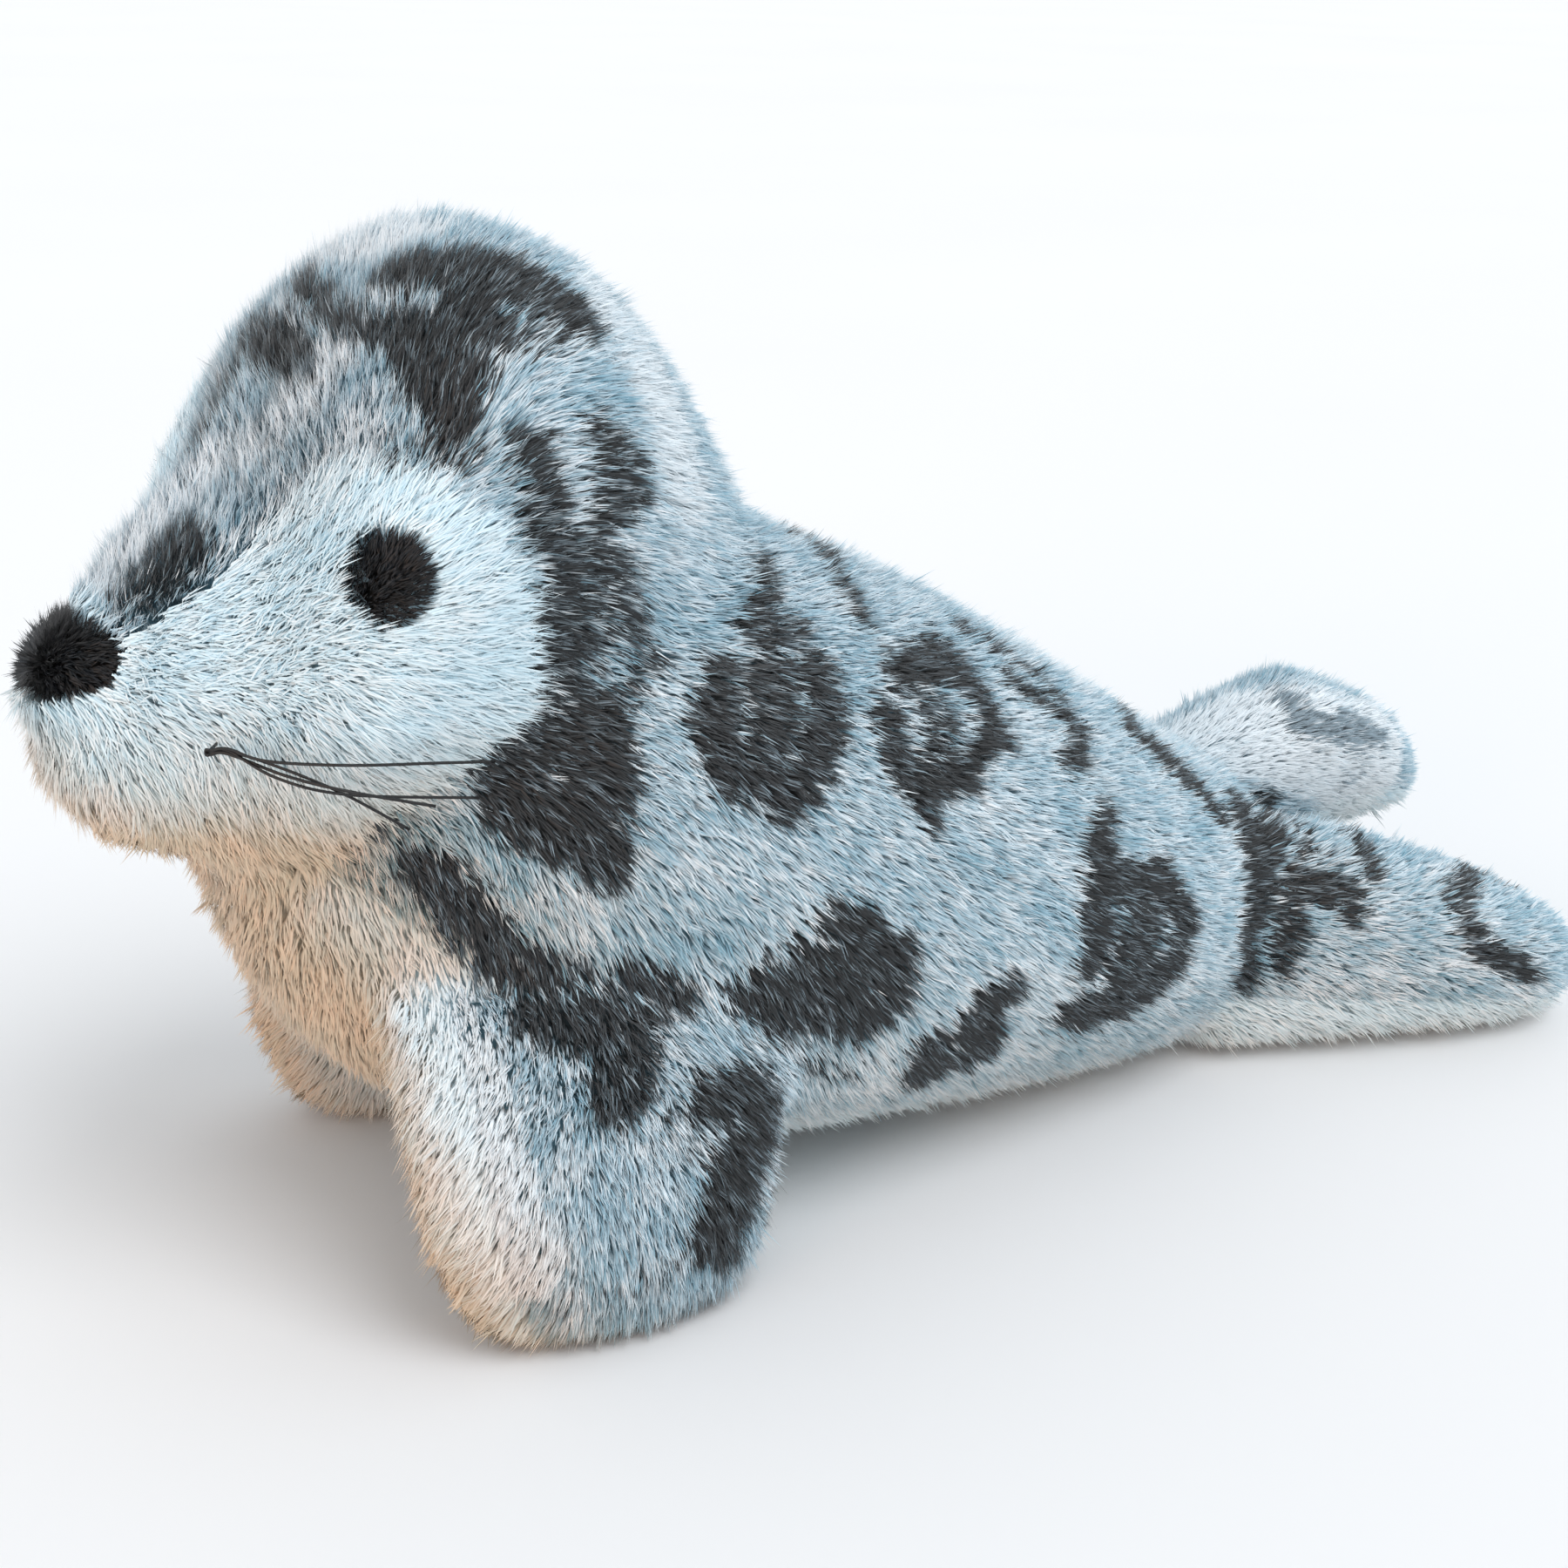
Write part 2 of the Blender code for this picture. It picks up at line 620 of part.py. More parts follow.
def tail_flipper(side, lift, tip):
    start = NOSE_X + 0.6821 * TOY_LENGTH
    length = tip - start
    a, b, y = TAIL_FLIPPER_HEIGHT / 2, TAIL_FLIPPER_WIDTH / 2, TAIL_FLIPPER_SPREAD
    rows = [
        (start, y * 0.50, FLOOR + a * 1.02, a, b * 0.74),
        (start + length * 0.25, y * 0.66, FLOOR + a * 0.94 + lift * 0.30, a * 0.93, b * 0.92),
        (start + length * 0.50, y * 0.84, FLOOR + a * 0.80 + lift * 0.72, a * 0.80, b * 1.03),
        (start + length * 0.74, y * 0.98, FLOOR + a * 0.62 + lift * 0.84, a * 0.63, b * 0.99),
        (start + length * 0.90, y * 1.04, FLOOR + a * 0.48 + lift * 0.74, a * 0.49, b * 0.78),
        (start + length * 0.98, y * 1.05, FLOOR + a * 0.42 + lift * 0.67, a * 0.32, b * 0.45),
        (start + length * 1.01, y * 1.05, FLOOR + a * 0.40 + lift * 0.65, a * 0.10, b * 0.14),
    ]
    return flipper_form(rows, side, (0.0, 0.0, 1.0), (0.0, 1.0, 0.0))


def make_flippers(spotted, white, fill, body_cutter):
    for side, word in ((LEFT, "left"), (RIGHT, "right")):
        front_form = front_flipper(side, CHEST_X + FRONT_FLIPPER_SETBACK[word])
        tail_form = tail_flipper(side, TAIL_LIFTS[word], TOY_LENGTH / 2 - TAIL_SHORTFALL[word])
        front = (f"front_flipper_{word}", front_form, (-50, 105), (0.0, 4.75), 3.3)
        tail = (f"tail_flipper_{word}", tail_form, (-110, 116), (0.0, 5.8), 4.4)
        open_root = (False, True)
        for name, form, seams, ends, filled in (front, tail):
            first, last = np.radians(seams[0]), np.radians(seams[1])
            low, high = shifted(lambda u, a=first: a, form, 1), shifted(lambda u, a=last: a, form, -1)
            top = panel(f"{name}_top", form, ends, low, high, (6, 7), spotted, open_root)
            low, high = (
                shifted(lambda u, a=last: a, form, 1),
                shifted(lambda u, a=first: a + 2 * math.pi, form, -1),
            )
            under = panel(f"{name}_underside", form, ends, low, high, (6, 7), white, open_root)
            depth = PANEL_THICKNESS + FLIPPER_STUFFING_GAP
            places = np.linspace(0.1, filled, 7)
            filling = closed_loft(
                f"{name}_stuffing", form, places, all_round(14), depth, fill, FLOOR + depth
            )
            for piece in (top, under, filling):
                cut(piece, body_cutter)


def make_stuffing(fill, rubber):
    """The body's stuffing with the squeaker in a well from below, and the wad that closes the well."""
    depth = PANEL_THICKNESS + STUFFING_GAP
    places = [NOSE_RING + 0.2, *np.arange(NOSE_RING + 1, LAST_RING)]
    stuffing, wad = (
        closed_loft(name, WHOLE_FORM, places, all_round(22), depth, fill, FLOOR + depth)
        for name in ("body_stuffing", "stuffing_wad")
    )
    middle = (SQUEAKER_X, 0.0, SQUEAKER_Z)
    radius, half = SQUEAKER_DIAMETER / 2, SQUEAKER_HEIGHT / 2
    neck = REED_DIAMETER / 2 + SEAT_GAP / 2
    start = math.degrees(math.acos((neck + SQUEAKER_WALL) / radius))
    bend = np.radians(np.linspace(-90, start, 10))
    outside = [(radius * math.cos(a), half * math.sin(a)) for a in bend]
    outside[0] = (0.0, -half)
    thin, low = radius - SQUEAKER_WALL, half - SQUEAKER_WALL
    inside_bend = np.radians(np.linspace(math.degrees(math.acos(neck / thin)), -90, 10))
    inside = [(thin * math.cos(a), low * math.sin(a)) for a in inside_bend]
    inside[-1] = (0.0, -low)
    spun("squeaker_bulb", outside + inside, rubber, 20, None, middle)
    bore, stem, flange = REED_BORE / 2, REED_DIAMETER / 2, REED_FLANGE / 2
    seat = half + SEAT_GAP / 2
    top = seat + REED_FLANGE_THICKNESS
    foot = top - REED_LENGTH
    reed = [(bore, top), (bore, foot), (stem, foot), (stem, seat), (flange, seat), (flange, top)]
    spun("squeaker_reed", reed, rubber, 16, None, middle)
    wide = radius + 2 * SEAT_GAP
    roof = SQUEAKER_Z + top + 2 * SEAT_GAP
    well = [(0.0, -wide), (wide, -wide), (wide, roof), (0.0, roof)]
    cut(stuffing, spun("squeaker_well", well, fill, 28, None, (SQUEAKER_X, 0.0, 0.0)))
    plug, ceiling = wide - SEAT_GAP, SQUEAKER_Z - half - SEAT_GAP
    column = [(0.0, -wide), (plug, -wide), (plug, ceiling), (0.0, ceiling)]
    cut(wad, spun("wad_column", column, fill, 28, None, (SQUEAKER_X, 0.0, 0.0)), "INTERSECT")


def main():
    clear_scene()
    spotted = material("spotted_plush", (0.42, 0.50, 0.56), 0.9)
    white = material("white_plush", (0.82, 0.86, 0.88), 0.9)
    black = material("black_plush", (0.012, 0.012, 0.014), 0.9)
    fill = material("polyester_stuffing", (0.86, 0.86, 0.84), 0.95)
    thread = material("whisker_thread", (0.03, 0.03, 0.035), 0.5)
    rubber = material("squeaker_rubber", (0.75, 0.72, 0.66), 0.6)
    make_skin(spotted, white, black, thread)
    make_nose(black)
    places = np.linspace(0.3, LAST_RING - 0.05, 48)
    below = FLOOR - BODY_WIDTH
    cutter = closed_loft("body_form", WHOLE_FORM, places, all_round(40), -SEAT_GAP, white, below)
    make_flippers(spotted, white, fill, cutter)
    make_stuffing(fill, rubber)


main()
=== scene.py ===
# %% [markdown]
# # A plush seal dog toy
#
# The real toy is sewn from two pile fabrics: a printed blue-grey plush for the head, back and the tops of
# the flippers, and a white plush for the face, chest, belly and the undersides. It is stuffed with polyester
# and has a squeaker inside. Nose and eyes are black plush, and black threads make the whiskers.
#
# Almost all of its look is pile: fibres some 6 mm long that lean one way and hold together in tufts. So this
# lesson makes real fibres. Each fabric panel becomes a thin backing cloth and tens of thousands of narrow
# blades. A bump map would be lighter, but its outline would stay smooth, and the fluffy outline is what tells
# plush from felt.

import json
import math

import bpy
import numpy as np
from mathutils import Matrix, Vector, bvhtree, kdtree, noise

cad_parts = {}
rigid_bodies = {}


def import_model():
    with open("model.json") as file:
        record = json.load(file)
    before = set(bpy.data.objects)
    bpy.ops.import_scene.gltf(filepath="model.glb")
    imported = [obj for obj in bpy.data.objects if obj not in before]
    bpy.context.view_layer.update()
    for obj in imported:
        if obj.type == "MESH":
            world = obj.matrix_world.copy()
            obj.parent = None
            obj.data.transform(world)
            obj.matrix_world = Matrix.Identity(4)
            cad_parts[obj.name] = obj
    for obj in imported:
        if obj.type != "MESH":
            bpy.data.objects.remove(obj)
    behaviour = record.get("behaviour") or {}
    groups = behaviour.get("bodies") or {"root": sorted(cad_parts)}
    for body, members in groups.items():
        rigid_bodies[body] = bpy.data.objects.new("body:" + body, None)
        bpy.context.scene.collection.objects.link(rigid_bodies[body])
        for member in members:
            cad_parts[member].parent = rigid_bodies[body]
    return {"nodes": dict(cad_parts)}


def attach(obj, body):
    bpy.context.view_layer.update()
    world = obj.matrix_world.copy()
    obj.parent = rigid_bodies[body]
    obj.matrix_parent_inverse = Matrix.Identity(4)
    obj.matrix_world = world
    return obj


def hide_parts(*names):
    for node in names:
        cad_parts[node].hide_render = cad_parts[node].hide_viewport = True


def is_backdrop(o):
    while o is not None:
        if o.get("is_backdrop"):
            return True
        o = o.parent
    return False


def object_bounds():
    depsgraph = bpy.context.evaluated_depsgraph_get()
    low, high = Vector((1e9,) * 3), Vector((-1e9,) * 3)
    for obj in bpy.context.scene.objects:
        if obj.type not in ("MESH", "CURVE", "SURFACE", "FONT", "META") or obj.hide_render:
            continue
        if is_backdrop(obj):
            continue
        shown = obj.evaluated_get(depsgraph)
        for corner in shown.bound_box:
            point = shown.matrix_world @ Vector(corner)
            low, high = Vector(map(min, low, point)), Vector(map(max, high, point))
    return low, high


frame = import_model()
nodes = frame["nodes"]
cad_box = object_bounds()
print("parts in the frame:", len(nodes))

# %% [markdown]
# ## Three small helpers
#
# Colours are easiest to read off a photograph as sRGB hex, but Blender's sockets take linear values, so one
# function turns them. Every material is built from nodes: one function adds a node with its settings and its
# links, and one starts an empty material.

# %% Helpers for colours and nodes
MM = 0.001


def linear(hex_colour):
    """The linear RGBA of a colour written as sRGB hex."""
    parts = [int(hex_colour[i : i + 2], 16) / 255 for i in (1, 3, 5)]
    return (*(p / 12.92 if p <= 0.04045 else ((p + 0.055) / 1.055) ** 2.4 for p in parts), 1.0)


def add(tree, kind, inputs=None, **settings):
    """Adds a node. Inputs that are sockets of other nodes are linked, and the rest are values."""
    made = tree.nodes.new(kind)
    for name, value in settings.items():
        setattr(made, name, value)
    for name, value in (inputs or {}).items():
        if isinstance(value, bpy.types.NodeSocket):
            tree.links.new(value, made.inputs[name])
        else:
            made.inputs[name].default_value = value
    return made


def blank(name):
    """A new material with only its output node, its tree and that output."""
    made = bpy.data.materials.new(name)
    made.use_nodes = True
    made.node_tree.nodes.clear()
    return made, made.node_tree, made.node_tree.nodes.new("ShaderNodeOutputMaterial")


# %% [markdown]
# ## Camera
#
# The toy was photographed from only 40 cm away, from its left side, a third of the way round to the front
# and a little from above, so the head looks large and the tail small. A camera this close has to stand at the
# right distance: a longer lens from further off would flatten the head.

# %% Set the camera
VIEW_AZIMUTH = math.radians(-31.5)
VIEW_ELEVATION = math.radians(19.8)
VIEW_ROLL = math.radians(1.29)
VIEW_DISTANCE = 0.4009
VIEW_TARGET = Vector((-33.9, -16.2, 69.7)) * MM

back = Vector(
    (
        math.sin(VIEW_AZIMUTH) * math.cos(VIEW_ELEVATION),
        -math.cos(VIEW_AZIMUTH) * math.cos(VIEW_ELEVATION),
        math.sin(VIEW_ELEVATION),
    )
)
level = Vector((math.cos(VIEW_AZIMUTH), math.sin(VIEW_AZIMUTH), 0.0))
up = back.cross(level).normalized()
right = level * math.cos(VIEW_ROLL) + up * math.sin(VIEW_ROLL)
up = back.cross(right).normalized()

lens = bpy.data.cameras.new("camera")
lens.sensor_width = 36.0
lens.lens = 57.4
lens.clip_start = 0.01
camera = bpy.data.objects.new("camera", lens)
bpy.context.scene.collection.objects.link(camera)
place = VIEW_TARGET + back * VIEW_DISTANCE
camera.matrix_world = Matrix.Translation(place) @ Matrix((right, up, back)).transposed().to_4x4()
bpy.context.scene.camera = camera
print("camera stands at", [round(c, 3) for c in place])

# %% [markdown]
# ## The stuffed form
#
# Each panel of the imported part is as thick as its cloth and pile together, and its outer face is where the
# tips of the pile lie. The cloth itself runs on without steps over the whole body, pulled round by the
# stuffing. A cloth simulation could puff it up, but the photographed form is already in the panels, so they
# are joined into one closed skin by a voxel remesh, which closes the seams, and then smoothed as a stuffed
# cloth is.

# %% Join the panels into one skin
SIDES = ("left", "right")
FLIPPERS = [f"{end}_flipper_{side}" for end in ("front", "tail") for side in SIDES]
PANELS = [f"{what}_{side}" for what in ("head_panel", "face_patch", "back_panel", "eye") for side in SIDES]
PANELS += ["chest_and_belly_panel", "nose"]
PANELS += [f"{flipper}_{face}" for flipper in FLIPPERS for face in ("top", "underside")]
FILLED = ["body_stuffing", *(f"{flipper}_stuffing" for flipper in FLIPPERS)]


def mesh_arrays(mesh):
    """The points and the triangles of a mesh."""
    mesh.calc_loop_triangles()
    points = np.empty(len(mesh.vertices) * 3, np.float32)
    mesh.vertices.foreach_get("co", points)
    corners = np.empty(len(mesh.loop_triangles) * 3, np.int32)
    mesh.loop_triangles.foreach_get("vertices", corners)
    return points.reshape(-1, 3).astype(float), corners.reshape(-1, 3)


def mesh_of(name, points, triangles):
    """A mesh from arrays of points and triangles."""
    made = bpy.data.meshes.new(name)
    made.vertices.add(len(points))
    made.vertices.foreach_set("co", np.asarray(points, np.float32).ravel())
    made.loops.add(len(triangles) * 3)
    made.loops.foreach_set("vertex_index", np.asarray(triangles, np.int32).ravel())
    made.polygons.add(len(triangles))
    made.polygons.foreach_set("loop_start", np.arange(0, len(triangles) * 3, 3, dtype=np.int32))
    made.update(calc_edges=True)
    return made


def stacked(names):
    """The points, the triangles and each triangle's name index, of several nodes."""
    points, triangles, owner, start = [], [], [], 0
    for k, name in enumerate(names):
        p, t = mesh_arrays(nodes[name].data)
        points.append(p)
        triangles.append(t + start)
        owner.append(np.full(len(t), k))
        start += len(p)
    return np.vstack(points), np.vstack(triangles), np.concatenate(owner)


points, triangles, _ = stacked(PANELS + FILLED)
lump = bpy.data.objects.new("lump", mesh_of("lump", points, triangles))
bpy.context.scene.collection.objects.link(lump)
step = lump.modifiers.new("one_skin", "REMESH")
step.mode = "VOXEL"
FINE_VOXEL = 1.8 * MM
COARSE_VOXEL = 3.0 * MM


def one_skin(voxel):
    """Points and triangles of the joined panels, remeshed with voxels of this size."""
    step.voxel_size = voxel
    settled = lump.evaluated_get(bpy.context.evaluated_depsgraph_get())
    made = mesh_arrays(settled.to_mesh())
    settled.to_mesh_clear()
    return made


fine_skin = one_skin(FINE_VOXEL)
coarse_skin = one_skin(COARSE_VOXEL)
bpy.data.objects.remove(lump)
print("remeshed skins:", len(fine_skin[1]), "and", len(coarse_skin[1]), "triangles")

# %% [markdown]
# The remesh leaves closed pockets inside, where panel and stuffing don't touch. Only the shell that reaches
# the outside is cloth, so the pockets go. A few rounds of smoothing then take away the voxel steps and round
# the seams, and the skin moves in by the height of the pile, to where the backing cloth is. The fine skin is
# only there to plant fibres on. The coarse one becomes the backing cloth, which hardly shows between them.

# %% Keep the outer shell, smooth it and find the backing
PILE_HEIGHT = 3.4 * MM


def edge_ends(triangles):
    """The two ends of every triangle's edges."""
    ends = np.vstack([triangles[:, [0, 1]], triangles[:, [1, 2]], triangles[:, [2, 0]]])
    return ends[:, 0], ends[:, 1]


def outer_shell(points, triangles):
    """The connected part that holds the point furthest along X."""
    first, second = edge_ends(triangles)
    group = np.arange(len(points))
    while True:
        low = np.minimum(group[first], group[second])
        new = group.copy()
        np.minimum.at(new, first, low)
        np.minimum.at(new, second, low)
        new = new[new]
        if (new == group).all():
            break
        group = new
    kept = group == group[points[:, 0].argmax()]
    number = np.cumsum(kept) - 1
    return points[kept], number[triangles[kept[triangles[:, 0]]]]


def smoothed(values, triangles, rounds, share=0.5):
    """Values at the points, each moved a share of the way to the mean of its neighbours, several times."""
    first, second = edge_ends(triangles)
    count = np.bincount(first, minlength=len(values)) + np.bincount(second, minlength=len(values))
    for _ in range(rounds):
        mean = np.stack(
            [
                np.bincount(first, v[second], len(values)) + np.bincount(second, v[first], len(values))
                for v in values.T
            ],
            axis=1,
        )
        values = values + share * (mean / np.maximum(count, 1)[:, None] - values)
    return values


def unit(vectors):
    return vectors / np.maximum(np.linalg.norm(vectors, axis=1, keepdims=True), 1e-12)


def point_normals(points, triangles):
    """Normals at the points, the larger faces counting for more."""
    a, b, c = (points[triangles[:, k]] for k in range(3))
    face = np.cross(b - a, c - a)
    total = np.zeros_like(points)
    for k in range(3):
        for axis in range(3):
            total[:, axis] += np.bincount(triangles[:, k], face[:, axis], len(points))
    return unit(total)


skin_points, skin_triangles = outer_shell(*fine_skin)
skin_points = smoothed(skin_points, skin_triangles, rounds=8)
skin_normals = unit(smoothed(point_normals(skin_points, skin_triangles), skin_triangles, rounds=6))
backing_points = smoothed(skin_points - PILE_HEIGHT * skin_normals, skin_triangles, rounds=6)

cloth_points, cloth_triangles = outer_shell(*coarse_skin)
cloth_points = smoothed(cloth_points, cloth_triangles, rounds=3)
cloth_normals = unit(smoothed(point_normals(cloth_points, cloth_triangles), cloth_triangles, rounds=2))
cloth_points = smoothed(cloth_points - PILE_HEIGHT * cloth_normals, cloth_triangles, rounds=2)
print("outer shells:", len(skin_triangles), "and", len(cloth_triangles), "triangles")

# %% [markdown]
# ## Which cloth is where
#
# Every point of the skin belongs to the sewn panel whose solid is nearest. A search tree over the panels
# answers that quickly, both for the triangles of the backing and later for the root of every fibre.

# %% Give every skin triangle to a panel
panel_points, panel_triangles, panel_owner = stacked(PANELS)
panel_tree = bvhtree.BVHTree.FromPolygons(panel_points.tolist(), panel_triangles.tolist())


def nearest_panel(points):
    """The index of the nearest panel in PANELS, for each point."""
    return panel_owner[[panel_tree.find_nearest(Vector(p))[2] for p in points]]


skin_middles = skin_points[skin_triangles].mean(axis=1)
a, b, c = (skin_points[skin_triangles[:, k]] for k in range(3))
skin_areas = np.linalg.norm(np.cross(b - a, c - a), axis=1) / 2
skin_owner = nearest_panel(skin_middles)
cloth_owner = nearest_panel(cloth_points[cloth_triangles].mean(axis=1))
for k, name in enumerate(PANELS):
    print(f"{name}: {skin_areas[skin_owner == k].sum() * 1e6:.0f} mm2")

# %% [markdown]
# ## Comb the pile
#
# Plush has a direction: its fibres lean the way the cloth was cut and brushed. On this toy they run back
# from the muzzle over the cheek, up over the forehead, and back and down along the flanks. A few dozen
# strokes, each a place in millimetres and a direction, say this. Every fibre takes the mean of the strokes
# round it, the nearest counting most, turned into the plane of the cloth where it grows. On the middle line
# the pile leans to neither side, so that it shows no parting.

# %% Strokes of the comb
# Place and direction on the left half; the right half is its mirror image
STROKES = [
    ((-151, -2, 101), (0.2, -0.9, -0.2)),
    ((-147, -3, 107), (0.4, -0.8, 0.3)),
    ((-142, -12, 103), (0.6, -0.8, 0.0)),
    ((-139, -6, 111), (0.3, -0.3, 0.8)),
    ((-138, -14, 102), (0.6, -0.7, -0.2)),
    ((-144, -9, 96), (0.1, -0.5, -0.8)),
    ((-146, -8, 88), (-0.3, -0.4, -0.9)),
    ((-132, -20, 106), (0.7, -0.6, 0.1)),
    ((-130, -6, 119), (0.2, -0.1, 0.9)),
    ((-122, -5, 128), (0.1, 0.0, 0.9)),
    ((-114, -12, 138), (0.2, -0.1, 0.9)),
    ((-104, -10, 148), (0.5, 0.0, 0.8)),
    ((-90, -8, 158), (0.8, 0.0, 0.2)),
    ((-75, -8, 158), (0.7, 0.0, 0.1)),
    ((-60, -8, 146), (0.8, 0.0, -0.5)),
    ((-50, -8, 130), (0.7, 0.0, -0.7)),
    ((-98, -36, 142), (0.2, -0.2, 1.0)),
    ((-80, -38, 138), (1.0, 0.0, -0.1)),
    ((-62, -38, 128), (0.8, 0.0, -0.6)),
    ((-125, -28, 110), (0.8, -0.5, 0.3)),
    ((-112, -38, 132), (0.3, -0.3, 1.0)),
    ((-96, -44, 128), (0.9, -0.2, 0.5)),
    ((-88, -45, 110), (1.0, -0.1, 0.0)),
    ((-88, -44, 96), (1.0, -0.1, -0.3)),
    ((-105, -40, 92), (0.9, -0.1, -0.5)),
    ((-120, -34, 88), (0.3, -0.3, -0.9)),
    ((-134, -24, 90), (0.1, -0.5, -0.9)),
    ((-140, -12, 80), (-0.5, -0.2, -0.8)),
    ((-128, -14, 72), (-0.2, -0.1, -0.6)),
    ((-126, 0, 60), (-0.1, 0.0, -1.0)),
    ((-124, -10, 40), (-0.1, -0.1, -1.0)),
    ((-70, -44, 100), (0.7, 0.0, -0.7)),
    ((-92, -40, 74), (0.4, -0.2, -0.9)),
    ((-60, -46, 80), (0.6, 0.0, -0.8)),
    ((-30, -47, 70), (0.7, 0.0, -0.7)),
    ((0, -47, 55), (0.8, 0.0, -0.6)),
    ((30, -42, 40), (0.9, 0.0, -0.4)),
    ((60, -34, 30), (1.0, 0.0, -0.1)),
    ((-30, -8, 112), (0.8, 0.0, -0.4)),
    ((10, -8, 92), (0.9, 0.0, -0.3)),
    ((50, -8, 66), (1.0, 0.0, -0.2)),
    ((100, -28, 30), (1.0, 0.0, 0.0)),
    ((135, -30, 20), (1.0, 0.0, -0.1)),
    ((-95, -50, 40), (-0.6, 0.0, -0.8)),
    ((-80, -55, 25), (-0.2, 0.0, -1.0)),
    ((-60, -52, 30), (0.2, 0.0, -1.0)),
    ((-100, -45, 15), (-0.8, -0.1, -0.6)),
    ((-70, -50, 6), (-0.4, -0.3, -0.8)),
    ((-40, -20, 4), (1.0, 0.0, 0.0)),
    ((20, -15, 2), (1.0, 0.0, 0.0)),
]
stroke_places = np.array([p for p, _ in STROKES], float) * MM
stroke_ways = unit(np.array([w for _, w in STROKES], float))
# A stroke counts for less by this power of its distance, measured from a small core round it
STROKE_CORE = 2 * MM
STROKE_FALL = 3
PARTING_WIDTH = 9 * MM


def combed(points, normals):
    """The direction in the plane of the cloth in which the pile leans."""
    mirror = np.where(points[:, 1:2] > 0, -1.0, 1.0)
    folded = points * np.hstack([np.ones_like(mirror), mirror, np.ones_like(mirror)])
    total = np.zeros_like(points)
    for place, way in zip(stroke_places, stroke_ways):
        distance = np.linalg.norm(folded - place, axis=1) + STROKE_CORE
        total += way / distance[:, None] ** STROKE_FALL
    total[:, 1:2] *= mirror * np.clip(folded[:, 1:2] / -PARTING_WIDTH, 0, 1)
    flat = total - (total * normals).sum(axis=1, keepdims=True) * normals
    return unit(flat)


# %% [markdown]
# ## The printed spots
#
# The blue-grey plush carries a print of dark rings, blots and streaks, like a harbour seal's coat. Each spot
# is a short chain of circles, in millimetres on the left side of the toy: a fibre is dark if its outer half
# is inside the chain. A printed edge on pile is never sharp, so the places are shifted a little by noise
# first. The other side has the same print, moved along, since no two sides of a cut cloth match. It starts
# past the middle of the back, and on the head past the forehead, whose spots are in the list.

